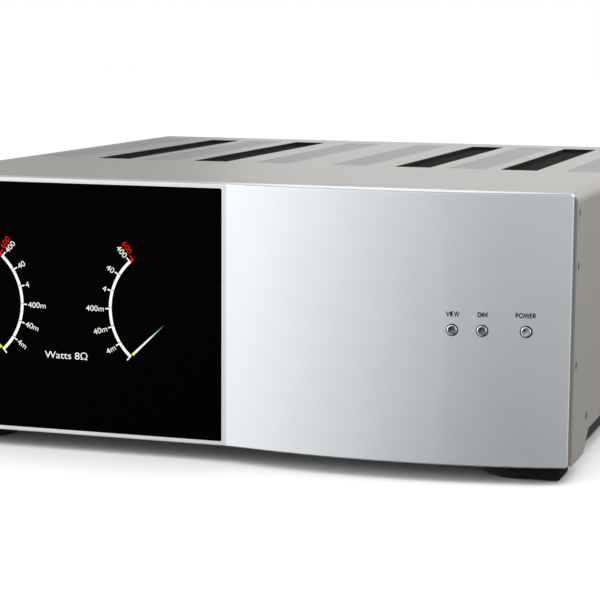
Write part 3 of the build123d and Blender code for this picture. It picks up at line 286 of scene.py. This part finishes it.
FINISHES = {
    "anodised_front": blasted_metal("front_anodising", (0.775, 0.815, 0.84), 0.36, 0.0009, 0.00003),
    "display_glass": black_glass("window_glass"),
    "display_module": powder_coat("display_frame", (0.02, 0.02, 0.022), 0.5),
    "cover_paint": powder_coat("cover_coat", PAINT, 0.42),
    "black_steel": powder_coat("black_coat", (0.018, 0.018, 0.019), 0.45),
    "plated_steel": blasted_metal("zinc_plate", (0.55, 0.55, 0.53), 0.4, 0.002, 0.00001),
    "grille": powder_coat("grille_coat", (0.016, 0.013, 0.011), 0.75, level=0.12),
    "screw": turned_metal("nickel_plate", (0.55, 0.54, 0.52), 0.28),
    "black_screw": turned_metal("black_oxide", (0.045, 0.045, 0.047), 0.4),
    "foot_plastic": moulded_plastic("foot_moulding", (0.004, 0.004, 0.004), 0.6, Specular_IOR_Level=0.12),
    "rubber": moulded_plastic("foot_rubber", (0.006, 0.006, 0.006), 0.8, 0.0006, Specular_IOR_Level=0.15),
    "board": circuit_board("solder_mask"),
    "component_black": moulded_plastic("component_body", (0.02, 0.02, 0.02), 0.5),
    "winding": wound_tape("winding_tape"),
    "capacitor": moulded_plastic("capacitor_sleeve", (0.02, 0.035, 0.09), 0.3),
    "heat_sink": blasted_metal("sink_anodising", (0.05, 0.05, 0.053), 0.5),
    "socket_black": moulded_plastic("socket_moulding", (0.016, 0.016, 0.016), 0.42),
    "gold": turned_metal("gold_plate", (0.83, 0.60, 0.24), 0.18),
    "insert_white": moulded_plastic("insulator_white", (0.75, 0.75, 0.72), 0.4),
    "terminal_red": moulded_plastic("terminal_red_cap", (0.42, 0.012, 0.012), 0.3),
    "terminal_black": moulded_plastic("terminal_black_cap", (0.014, 0.014, 0.014), 0.3),
    "pin_metal": turned_metal("pin_plate", (0.72, 0.71, 0.67), 0.25),
    "fuse": clear_fuse("fuse_tube"),
}

for name, node in nodes.items():
    for place in node.material_slots:
        # the buttons' metal carries painted reflection shade in the dish and a painted shadow at the edge
        if name in BUTTON_DISH_SHADES:
            place.material = dish_shaded_metal(name)
        else:
            place.material = FINISHES[place.material.name.split(".")[0]]


# ---------------------------------------------------------------- mesh helpers

def as_piece(name, build, material, body, thickness=0.0):
    """The mesh in build becomes a piece riding on a body; a thickness turns flat faces into closed slabs."""
    mesh = bpy.data.meshes.new(name)
    bmesh.ops.remove_doubles(build, verts=build.verts, dist=1e-7)
    build.to_mesh(mesh)
    build.free()
    mesh.materials.append(material)
    piece = bpy.data.objects.new(name, mesh)
    bpy.context.scene.collection.objects.link(piece)
    if thickness:
        slab = piece.modifiers.new("slab", "SOLIDIFY")
        slab.thickness = thickness
        slab.offset = -1.0
        slab.use_even_offset = False
    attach(piece, body)
    return piece


def on_front(x, z, y):
    """A point of the drawing on an upright plane that faces the front."""
    return Vector((x, y, z))


def add_face(build, points):
    build.faces.new([build.verts.new(point) for point in points])


def add_sector(build, centre, radii, angles, y, steps=12):
    """Part of a ring round centre (x, z), between two radii and two angles in degrees, one row of faces."""
    turns = [radians(angles[0] + (angles[1] - angles[0]) * step / steps) for step in range(steps + 1)]
    rims = [[on_front(centre[0] + r * cos(turn), centre[1] + r * sin(turn), y) for turn in turns]
            for r in radii]
    for near, far in zip(range(steps), range(1, steps + 1)):
        add_face(build, (rims[0][near], rims[1][near], rims[1][far], rims[0][far]))


def add_ribbon(build, points, width, y):
    """A stroke of that width along a line of (x, z) points, with mitred corners and square ends."""
    line = [Vector(point) for point in points]
    closed = (line[0] - line[-1]).length < 1e-9
    if closed:
        line = line[:-1]
    sides = []
    for index, point in enumerate(line):
        before = point - line[index - 1] if closed or index else None
        after = line[(index + 1) % len(line)] - point if closed or index + 1 < len(line) else None
        ways = [way.normalized() for way in (before, after) if way is not None]
        normals = [Vector((-way.y, way.x)) for way in ways]
        middle = sum(normals, Vector((0.0, 0.0))).normalized()
        reach = width / 2 / max(middle.dot(normals[0]), 0.35)
        sides.append((point + middle * reach, point - middle * reach))
    count = len(line) if closed else len(line) - 1
    for index in range(count):
        (left, right), (next_left, next_right) = sides[index], sides[(index + 1) % len(sides)]
        corners = (left, right, next_right, next_left)
        add_face(build, [on_front(corner.x, corner.y, y) for corner in corners])


def add_words(build, words, height, place, turn, y, anchor, stretch):
    """Printed words with digits height tall and stretch wide; place (x, z) is their anchor at mid height."""
    curve = bpy.data.curves.new("words", "FONT")
    curve.body = words
    curve.size = height / DIGIT_SHARE
    curve.align_x = anchor
    curve.resolution_u = 6
    curve.offset = -INK_THINNING / 2
    holder = bpy.data.objects.new("words", curve)
    bpy.context.scene.collection.objects.link(holder)
    bpy.context.view_layer.update()
    mesh = bpy.data.meshes.new_from_object(holder)
    swing = Matrix.Rotation(radians(turn), 2)
    for vertex in mesh.vertices:
        spot = swing @ Vector((vertex.co.x * stretch, vertex.co.y - height / 2)) + Vector(place)
        vertex.co = on_front(spot.x, spot.y, y)
    build.from_mesh(mesh)
    bpy.data.objects.remove(holder)
    bpy.data.curves.remove(curve)
    bpy.data.meshes.remove(mesh)


DIGIT_SHARE = 0.729      # a digit's height over the built-in typeface's size
INK_THINNING = 0.04 * MM


# ---------------------------------------------------------------- the display's two level meters

GRAPHIC_T = 0.1 * MM
GRAPHIC_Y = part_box("display_glass")[0].y - 0.05 * MM
METER_MIDDLE_X = -102.4 * MM
METER_X = 69.4 * MM               # each arc's centre, out from the display's middle
METER_Z = 92.3 * MM
METER_R = 39.4 * MM
BAND_W = 1.8 * MM
STEP = 16.4                       # degrees from one mark to the next
MARKS = ("400", "40", "4", "400m", "40m", "4m", "")
MARK_L = 2.4 * MM
MARK_W = 0.75 * MM
MARK_GAP = 0.4 * MM
LABEL_GAP = 0.7 * MM
DIGIT_H = 3.7 * MM
CAPTION_Z = 61.0 * MM
CAPTION_H = 4.6 * MM
CAPTION_STRETCH = 1.15
LABEL_STRETCH = 1.08
PEAK_L = 1.9 * MM
PEAK_LABEL_SHIFT = 1.0 * MM
NEEDLE_TIP = (-57.7 * MM, 63.7 * MM)
NEEDLE_TAIL = (-36.5 * MM, 83.5 * MM)
NEEDLE_W = 1.6 * MM
NEEDLE_THINNING = 0.75            # of its width, from the tip to the tail
NEEDLE_STEPS = 24


def arc_degrees(length, radius=METER_R):
    return length / radius * 180 / pi


def meter_angle(side, turn):
    """turn degrees down from a meter's innermost point; side is 1 for the right meter and -1 for the left."""
    return 180 + turn if side > 0 else -turn


def add_mark(build, side, turn, way):
    """A mark across the band at turn, out towards its label; way is 1 or -1, the side that it widens to."""
    centre = (METER_MIDDLE_X + side * METER_X, METER_Z)
    edge = turn + way * arc_degrees(MARK_W)
    radii = (METER_R - BAND_W / 2, METER_R + BAND_W / 2 + MARK_L)
    add_sector(build, centre, radii, (meter_angle(side, turn), meter_angle(side, edge)), GRAPHIC_Y, 2)


def add_band(build, side, start, end):
    centre = (METER_MIDDLE_X + side * METER_X, METER_Z)
    radii = (METER_R - BAND_W / 2, METER_R + BAND_W / 2)
    add_sector(build, centre, radii, (meter_angle(side, start), meter_angle(side, end)), GRAPHIC_Y)


def add_label(build, side, turn, words, shift=0.0):
    """A mark's value, along the radius, between the mark and the display's middle."""
    turn += arc_degrees(shift)
    reach = METER_R + BAND_W / 2 + MARK_L + LABEL_GAP
    angle = radians(meter_angle(side, turn))
    place = (METER_MIDDLE_X + side * METER_X + reach * cos(angle), METER_Z + reach * sin(angle))
    anchor = "RIGHT" if side > 0 else "LEFT"
    add_words(build, words, DIGIT_H, place, side * turn, GRAPHIC_Y, anchor, LABEL_STRETCH)


def level_scales():
    """Both meters' white scales: a band cut by thin gaps, and a mark and value at the top of each stretch."""
    build = bmesh.new()
    for side in (-1, 1):
        turns = [STEP * (index - 3) for index in range(len(MARKS))]
        gap = arc_degrees(MARK_GAP)
        for index, (turn, words) in enumerate(zip(turns, MARKS)):
            last = index == len(MARKS) - 1
            if last:
                add_mark(build, side, turn, -1)
            else:
                below = turns[index + 1]
                add_band(build, side, turn, below if index == len(MARKS) - 2 else below - gap)
                add_mark(build, side, turn, 1)
                add_label(build, side, turn + arc_degrees(MARK_W) / 2, words)
    caption_place = (METER_MIDDLE_X, CAPTION_Z)
    add_words(build, "Watts 8Ω", CAPTION_H, caption_place, 0.0, GRAPHIC_Y, "CENTER", CAPTION_STRETCH)
    material = lit_ink("scale_light", (0.94, 0.95, 0.84), WHITE_LIGHT, 1.1)
    return as_piece("level_scales", build, material, "chassis", GRAPHIC_T)


def peak_marks():
    """Both meters' red stretch past the top of the scale."""
    build = bmesh.new()
    for side in (-1, 1):
        start = -3 * STEP - arc_degrees(MARK_GAP)
        end = start - arc_degrees(PEAK_L)
        add_band(build, side, start, end)
        add_mark(build, side, end, 1)
        add_label(build, side, end, "600", -PEAK_LABEL_SHIFT)
    material = lit_ink("peak_light", (0.70, 0.004, 0.006), (0.9, 0.012, 0.008), 1.1)
    return as_piece("peak_marks", build, material, "chassis", GRAPHIC_T)


def level_needle(name, side):
    """One meter's needle at the bottom of its scale: widest at the tip, then thinning out."""
    tip, tail = [Vector((METER_MIDDLE_X + side * (x - METER_MIDDLE_X), z))
                 for x, z in (NEEDLE_TIP, NEEDLE_TAIL)]
    along = (tail - tip).normalized()
    across = Vector((-along.y, along.x))
    build = bmesh.new()
    rows = []
    for step in range(NEEDLE_STEPS + 1):
        share = step / NEEDLE_STEPS
        half = NEEDLE_W / 2 * (1.0 - NEEDLE_THINNING * share)
        spot = tip.lerp(tail, share)
        rows.append([on_front(*(spot + across * half * way), GRAPHIC_Y) for way in (side, -side)])
    for (left, right), (next_left, next_right) in zip(rows, rows[1:]):
        add_face(build, (left, right, next_right, next_left))
    material = needle_ink(name + "_light", on_front(*tip, 0.0), on_front(*tail, 0.0))
    return as_piece(name, build, material, "chassis", GRAPHIC_T)


# ---------------------------------------------------------------- the buttons' words and painted gap shadows

WING_CREST_X = 96.0 * MM
WING_CREST_Y = -235.0 * MM
WING_R = 428.2 * MM
BUTTON_X = {"VIEW": 147.0 * MM, "DIM": 164.4 * MM, "POWER": 189.5 * MM}
BUTTON_Z = 91.45 * MM
LEGEND_SHIFT = {"VIEW": 0.3 * MM, "DIM": 0.2 * MM, "POWER": -0.4 * MM}
LEGEND_Z = 99.7 * MM
LEGEND_H = 2.45 * MM
LEGEND_W = 0.6 * MM
LEGEND_T = 0.03 * MM
LETTER_GAP = 0.25
# a flat black ring on the front round each button, painted shadow of the gap
GAP_SHADOW_RADII = (3.25 * MM, 3.65 * MM)
GAP_SHADOW_T = 0.2 * MM


def wing_y(x):
    """The curved front's surface at x."""
    return WING_CREST_Y + WING_R - sqrt(WING_R ** 2 - (x - WING_CREST_X) ** 2)


def bow(middle, radii, start, end, steps=16):
    """Points of an ellipse's arc, from start to end in degrees."""
    turns = [radians(start + (end - start) * step / steps) for step in range(steps + 1)]
    return [(middle[0] + radii[0] * cos(turn), middle[1] + radii[1] * sin(turn)) for turn in turns]


# the stem and bowl that P and R share
P_BOWL = [(0.0, 0.0), (0.0, 1.0), (0.18, 1.0)] + bow((0.18, 0.74), (0.26, 0.26), 90, -90)[1:] + [(0.0, 0.48)]
# each letter is its width and its strokes, in letter heights
LETTERS = {
    "V": (0.70, [[(0.0, 1.0), (0.35, 0.0), (0.70, 1.0)]]),
    "I": (0.0, [[(0.0, 0.0), (0.0, 1.0)]]),
    "E": (0.44, [[(0.44, 1.0), (0.0, 1.0), (0.0, 0.0), (0.44, 0.0)], [(0.0, 0.52), (0.40, 0.52)]]),
    "W": (1.10, [[(0.0, 1.0), (0.28, 0.0), (0.55, 1.0), (0.82, 0.0), (1.10, 1.0)]]),
    "D": (0.72, [[(0.0, 0.0), (0.0, 1.0), (0.22, 1.0)] + bow((0.22, 0.5), (0.5, 0.5), 90, -90)[1:]
                 + [(0.0, 0.0)]]),
    "M": (0.92, [[(0.0, 0.0), (0.1, 1.0), (0.46, 0.18), (0.82, 1.0), (0.92, 0.0)]]),
    "P": (0.44, [P_BOWL]),
    "O": (0.98, [bow((0.49, 0.5), (0.49, 0.5), 0, 360, 28)]),
    "R": (0.46, [P_BOWL, [(0.14, 0.48), (0.46, 0.0)]]),
}


def button_legends():
    """The buttons' plain function words, printed on the curved front above them."""
    build = bmesh.new()
    for words, middle in BUTTON_X.items():
        length = sum(LETTERS[letter][0] for letter in words) + LETTER_GAP * (len(words) - 1)
        start = -length / 2
        for letter in words:
            width, strokes = LETTERS[letter]
            for stroke in strokes:
                line = [(middle + LEGEND_SHIFT[words] + (start + x) * LEGEND_H, LEGEND_Z + z * LEGEND_H)
                        for x, z in stroke]
                add_ribbon(build, line, LEGEND_W, 0.0)
            start += width + LETTER_GAP
    for vertex in build.verts:
        vertex.co.y = wing_y(vertex.co.x) - LEGEND_T / 2
    material = moulded_plastic("legend_ink", (0.008, 0.008, 0.009), 0.6, 0.0002, 0.000004,
                               Specular_IOR_Level=0.1)
    return as_piece("button_legends", build, material, "chassis", LEGEND_T)


def button_gap_shadows():
    """A near black ring round each button: painted shadow of the gap where the curved front's hole edge turns
    in.
    """
    build = bmesh.new()
    for middle in BUTTON_X.values():
        add_sector(build, (middle, BUTTON_Z), GAP_SHADOW_RADII, (0, 360), 0.0, 48)
    for vertex in build.verts:
        vertex.co.y = wing_y(vertex.co.x) - LEGEND_T / 2
    material = moulded_plastic("gap_shadow_black", (0.006, 0.006, 0.007), 0.6, 0.0002, 0.000004,
                               Specular_IOR_Level=0.1)
    return as_piece("button_gap_shadows", build, material, "chassis", GAP_SHADOW_T)


# ---------------------------------------------------------------- the rear panel's plain marks

REAR_Y = 214.0 * MM
MARK_INK_T = 0.04 * MM
MARK_INK_W = 0.7 * MM
PLUS = [[(0.0, 0.5), (1.0, 0.5)], [(0.5, 0.0), (0.5, 1.0)]]
MINUS = [[(0.0, 0.5), (1.0, 0.5)]]
LETTER_L = [[(0.1, 1.0), (0.1, 0.0), (0.7, 0.0)]]
LETTER_R = [[(x + 0.2, z) for x, z in stroke] for stroke in LETTERS["R"][1]]
LINE = [[(0.5, 0.0), (0.5, 1.0)]]
RING = [bow((0.5, 0.5), (0.42, 0.5), 0, 360, 28)]
# strokes, the middle (x, z) and the height, in millimetres
REAR_MARKS = [(PLUS, (158, 78), 4.2), (MINUS, (118, 78), 4.2),
              (MINUS, (-118, 78), 4.2), (PLUS, (-158, 78), 4.2),
              (LETTER_R, (138, 86), 5.0), (LETTER_L, (-138, 86), 5.0),
              (LETTER_R, (131, 143), 5.0), (LETTER_L, (-131, 143), 5.0),
              (LINE, (26, 70), 4.0), (RING, (26, 30), 4.0)]


def rear_marks():
    """White plus, minus, left, right, on and off marks on the rear panel, which read from behind."""
    build = bmesh.new()
    for strokes, middle, height in REAR_MARKS:
        for stroke in strokes:
            line = [((middle[0] - (x - 0.5) * height) * MM, (middle[1] + (z - 0.5) * height) * MM)
                    for x, z in stroke]
            add_ribbon(build, line, MARK_INK_W, REAR_Y + MARK_INK_T / 2)
    bmesh.ops.recalc_face_normals(build, faces=build.faces)
    for face in build.faces:
        face.normal_update()
        if face.normal.y < 0:
            face.normal_flip()
    material = moulded_plastic("mark_ink", (0.62, 0.62, 0.60), 0.5, 0.0002, 0.000004)
    return as_piece("rear_marks", build, material, "chassis", MARK_INK_T)


# ---------------------------------------------------------------- the top's inlaid stripes and vents

SLOT_W = 25.0 * MM
SLOT_Y = (-47.0 * MM, 188.0 * MM)
STRIPE_X = [x * MM for x in (-190.0, -110.5, -28.0, 28.0, 110.5, 190.0)]
VENT_X = [x * MM for x in (-146.0, -73.0, 73.0, 146.0)]
STRIPE_FLOOR = 0.7 * MM
INLAY_GAP = 0.06 * MM
INLAY_T = 0.62 * MM
HOLE_ACROSS = 1.9 * MM
HOLE_PITCH = 2.5 * MM
MESH_RIM = 3.0 * MM
# black bands over the slots' inner walls are painted shade inside the slots
SHADE_BAND_GAP = 0.05 * MM
SHADE_BAND_T = 0.15 * MM
SHADE_BAND_DROP = 0.25 * MM


def stripe_inlays():
    """A flat strip of cooler grey let into each blind recess of the cover."""
    top = cad_box[1].z - STRIPE_FLOOR + INLAY_T
    build = bmesh.new()
    for x in STRIPE_X:
        reach = SLOT_W / 2 - INLAY_GAP
        ends = (SLOT_Y[0] + INLAY_GAP, SLOT_Y[1] - INLAY_GAP)
        add_face(build, [(x - reach, ends[0], top), (x + reach, ends[0], top), (x + reach, ends[1], top),
                         (x - reach, ends[1], top)])
    material = powder_coat("inlay_coat", INLAY, 0.5)
    piece = as_piece("stripe_inlays", build, material, "chassis", INLAY_T)
    return piece


def slot_shade_bands():
    """A thin black band round the inside of each slot, from the painted rim down to the mesh: painted shade
    on the slot walls.
    """
    low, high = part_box("vent_grilles")[1].z, cad_box[1].z - SHADE_BAND_DROP
    build = bmesh.new()
    for x in VENT_X:
        reach = SLOT_W / 2 - SHADE_BAND_GAP
        ends = (SLOT_Y[0] + SHADE_BAND_GAP, SLOT_Y[1] - SHADE_BAND_GAP)
        corners = [(x - reach, ends[0]), (x + reach, ends[0]), (x + reach, ends[1]), (x - reach, ends[1])]
        for (here_x, here_y), (next_x, next_y) in zip(corners, corners[1:] + corners[:1]):
            add_face(build, [(here_x, here_y, high), (next_x, next_y, high), (next_x, next_y, low),
                             (here_x, here_y, low)])
    # the grille's dark coat is used here as painted shade on the walls
    piece = as_piece("slot_shade_bands", build, FINISHES["grille"], "chassis", SHADE_BAND_T)
    return piece


def vent_mesh():
    """Perforated sheet below the four slots: six-sided holes in staggered rows."""
    low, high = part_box("vent_grilles")
    rise = HOLE_PITCH * sqrt(3) / 2
    corners = [(cos(radians(60 * side + 30)), sin(radians(60 * side + 30))) for side in range(6)]
    cell, hole = HOLE_PITCH / sqrt(3), HOLE_ACROSS / sqrt(3)
    build = bmesh.new()
    for x in VENT_X:
        across = int((SLOT_W / 2 + MESH_RIM) / HOLE_PITCH)
        rows = int((SLOT_Y[1] - SLOT_Y[0] + 2 * MESH_RIM) / rise)
        for row in range(rows + 1):
            shift = HOLE_PITCH / 2 if row % 2 else 0.0
            for column in range(-across, across + 1):
                middle = Vector((x + shift + column * HOLE_PITCH, SLOT_Y[0] - MESH_RIM + row * rise, high.z))
                rims = [[middle + Vector((size * dx, size * dy, 0.0)) for dx, dy in corners]
                        for size in (hole, cell)]
                for side in range(6):
                    after = (side + 1) % 6
                    add_face(build, (rims[0][side], rims[1][side], rims[1][after], rims[0][after]))
    bmesh.ops.remove_doubles(build, verts=build.verts, dist=HOLE_PITCH / 100)
    piece = as_piece("vent_mesh", build, FINISHES["grille"], "chassis", (high.z - low.z) * 0.8)
    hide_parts("vent_grilles")
    return piece


level_scales()
peak_marks()
level_needle("right_needle", 1)
level_needle("left_needle", -1)
button_legends()
button_gap_shadows()
rear_marks()
stripe_inlays()
slot_shade_bands()
vent_mesh()


# ---------------------------------------------------------------- floor, light and camera

FLOOR_REACH = 8.0
FLOOR_COLOUR = (0.9, 0.9, 0.9)


def stage_floor():
    """A wide pale floor that throws no light back up."""
    build = bmesh.new()
    ends = (-FLOOR_REACH, FLOOR_REACH)
    add_face(build, [(ends[0], ends[0], 0.0), (ends[1], ends[0], 0.0), (ends[1], ends[1], 0.0),
                     (ends[0], ends[1], 0.0)])
    mesh = bpy.data.meshes.new("studio_floor")
    build.to_mesh(mesh)
    build.free()
    material, shader = principled("floor_paint", FLOOR_COLOUR, 0.7, Specular_IOR_Level=0.2)
    mottle(material, shader, FLOOR_COLOUR, 0.3, 0.005)
    mesh.materials.append(material)
    floor = bpy.data.objects.new("studio_floor", mesh)
    floor.visible_diffuse = False
    floor.visible_glossy = False
    bpy.context.scene.collection.objects.link(floor)
    return floor


def floor_light(floor, strength, spread):
    """A sun spread degrees wide for the floor alone: white paper with a soft dark contact shadow."""
    lamp = bpy.data.lights.new("floor_light", "SUN")
    lamp.energy = strength
    lamp.angle = radians(spread)
    light = bpy.data.objects.new("floor_light", lamp)
    bpy.context.scene.collection.objects.link(light)
    lit = bpy.data.collections.new("lit_by_floor_light")
    lit.objects.link(floor)
    light.light_linking.receiver_collection = lit


def softbox(name, place, aim, size, radiance):
    """A rectangular light of size (width, height) at place, turned to aim, that looks radiance bright."""
    lamp = bpy.data.lights.new(name, "AREA")
    lamp.shape = "RECTANGLE"
    lamp.size, lamp.size_y = size
    lamp.energy = radiance * pi * size[0] * size[1]
    light = bpy.data.objects.new(name, lamp)
    light.location = place
    light.rotation_euler = (Vector(aim) - Vector(place)).to_track_quat("-Z", "Y").to_euler()
    light.visible_camera = False
    bpy.context.scene.collection.objects.link(light)


def ramp(tree_owner, value, stops):
    """The level, up to 2, that the stops give a value from -1 to 1; each stop is (place, level)."""
    share = span(tree_owner, value, 0.0, 1.0, -1.0, 1.0)
    node = add_node(tree_owner, "ValToRGB", Fac=share)
    for place, level in stops[1:-1]:
        node.color_ramp.elements.new((place + 1) / 2)
    for element, (place, level) in zip(node.color_ramp.elements, stops):
        element.position = (place + 1) / 2
        element.color = (level / 2, level / 2, level / 2, 1.0)
    return calculate(tree_owner, "MULTIPLY", node.outputs["Color"], 2.0)


# the studio's level against x (left to right), z (below to above) and y (front to back) of a direction
LEFT_WRAP = ((-1.0, 1.16), (0.15, 0.03), (0.3, 0.05), (1.0, 0.6))
HEIGHT_FADE = ((-0.31, 0.0), (0.2, 1.06), (0.5, 0.5), (1.0, 0.2))
REAR_FADE = ((-1.0, 1.0), (-0.2, 1.0), (0.5, 0.4), (1.0, 0.4))


def studio_world(seen):
    """White to the eye. On the object, a soft wrap that fades towards the right, the rear and below."""
    world = bpy.data.worlds.new("studio")
    world.use_nodes = True
    world.node_tree.nodes.clear()
    way = add_node(world, "SeparateXYZ", Vector=add_node(world, "TexCoord").outputs["Generated"]).outputs
    wrap = calculate(world, "ADD", ramp(world, way["X"], LEFT_WRAP), ramp(world, way["Z"], HEIGHT_FADE))
    level = calculate(world, "MULTIPLY", wrap, ramp(world, way["Y"], REAR_FADE))
    fill = add_node(world, "Background", Color=(1.0, 1.0, 1.0, 1.0), Strength=level)
    backdrop = add_node(world, "Background", Color=(1.0, 1.0, 1.0, 1.0), Strength=seen)
    choose = add_node(world, "MixShader", Fac=add_node(world, "LightPath").outputs["Is Camera Ray"])
    join(world, fill.outputs["Background"], choose.inputs[1])
    join(world, backdrop.outputs["Background"], choose.inputs[2])
    out = world.node_tree.nodes.new("ShaderNodeOutputWorld")
    join(world, choose.outputs["Shader"], out.inputs["Surface"])
    bpy.context.scene.world = world


CAMERA_PLACE = (419.38 * MM, -1368.04 * MM, 271.26 * MM)
CAMERA_YAW = 0.3115               # radians to the left of +Y
CAMERA_PITCH = 0.1388             # radians down
CAMERA_ROLL = -0.0064
CAMERA_LENS = 121.01


def aim_camera():
    lens = bpy.data.cameras.new("camera")
    lens.sensor_width = 36.0
    lens.lens = CAMERA_LENS
    lens.clip_start = 0.05
    camera = bpy.data.objects.new("camera", lens)
    forward = Vector((-sin(CAMERA_YAW) * cos(CAMERA_PITCH), cos(CAMERA_YAW) * cos(CAMERA_PITCH),
                      -sin(CAMERA_PITCH)))
    level = Vector((cos(CAMERA_YAW), sin(CAMERA_YAW), 0.0))
    right = level * cos(CAMERA_ROLL) - level.cross(forward) * sin(CAMERA_ROLL)
    up = right.cross(forward)
    turn = Matrix((right, up, -forward)).transposed().to_4x4()
    camera.matrix_world = Matrix.Translation(CAMERA_PLACE) @ turn
    bpy.context.scene.collection.objects.link(camera)
    bpy.context.scene.camera = camera


floor_light(stage_floor(), strength=2.0, spread=100.0)
softbox("key_box", place=(0.9, -0.05, 0.95), aim=(0.05, 0.0, 0.1), size=(0.9, 0.9), radiance=2.6)
softbox("rear_box", place=(-0.05, 2.0, 0.5), aim=(0.0, 0.1, 0.12), size=(1.5, 0.8), radiance=1.25)
studio_world(seen=1.0)
aim_camera()
bpy.context.scene.view_settings.view_transform = "Standard"
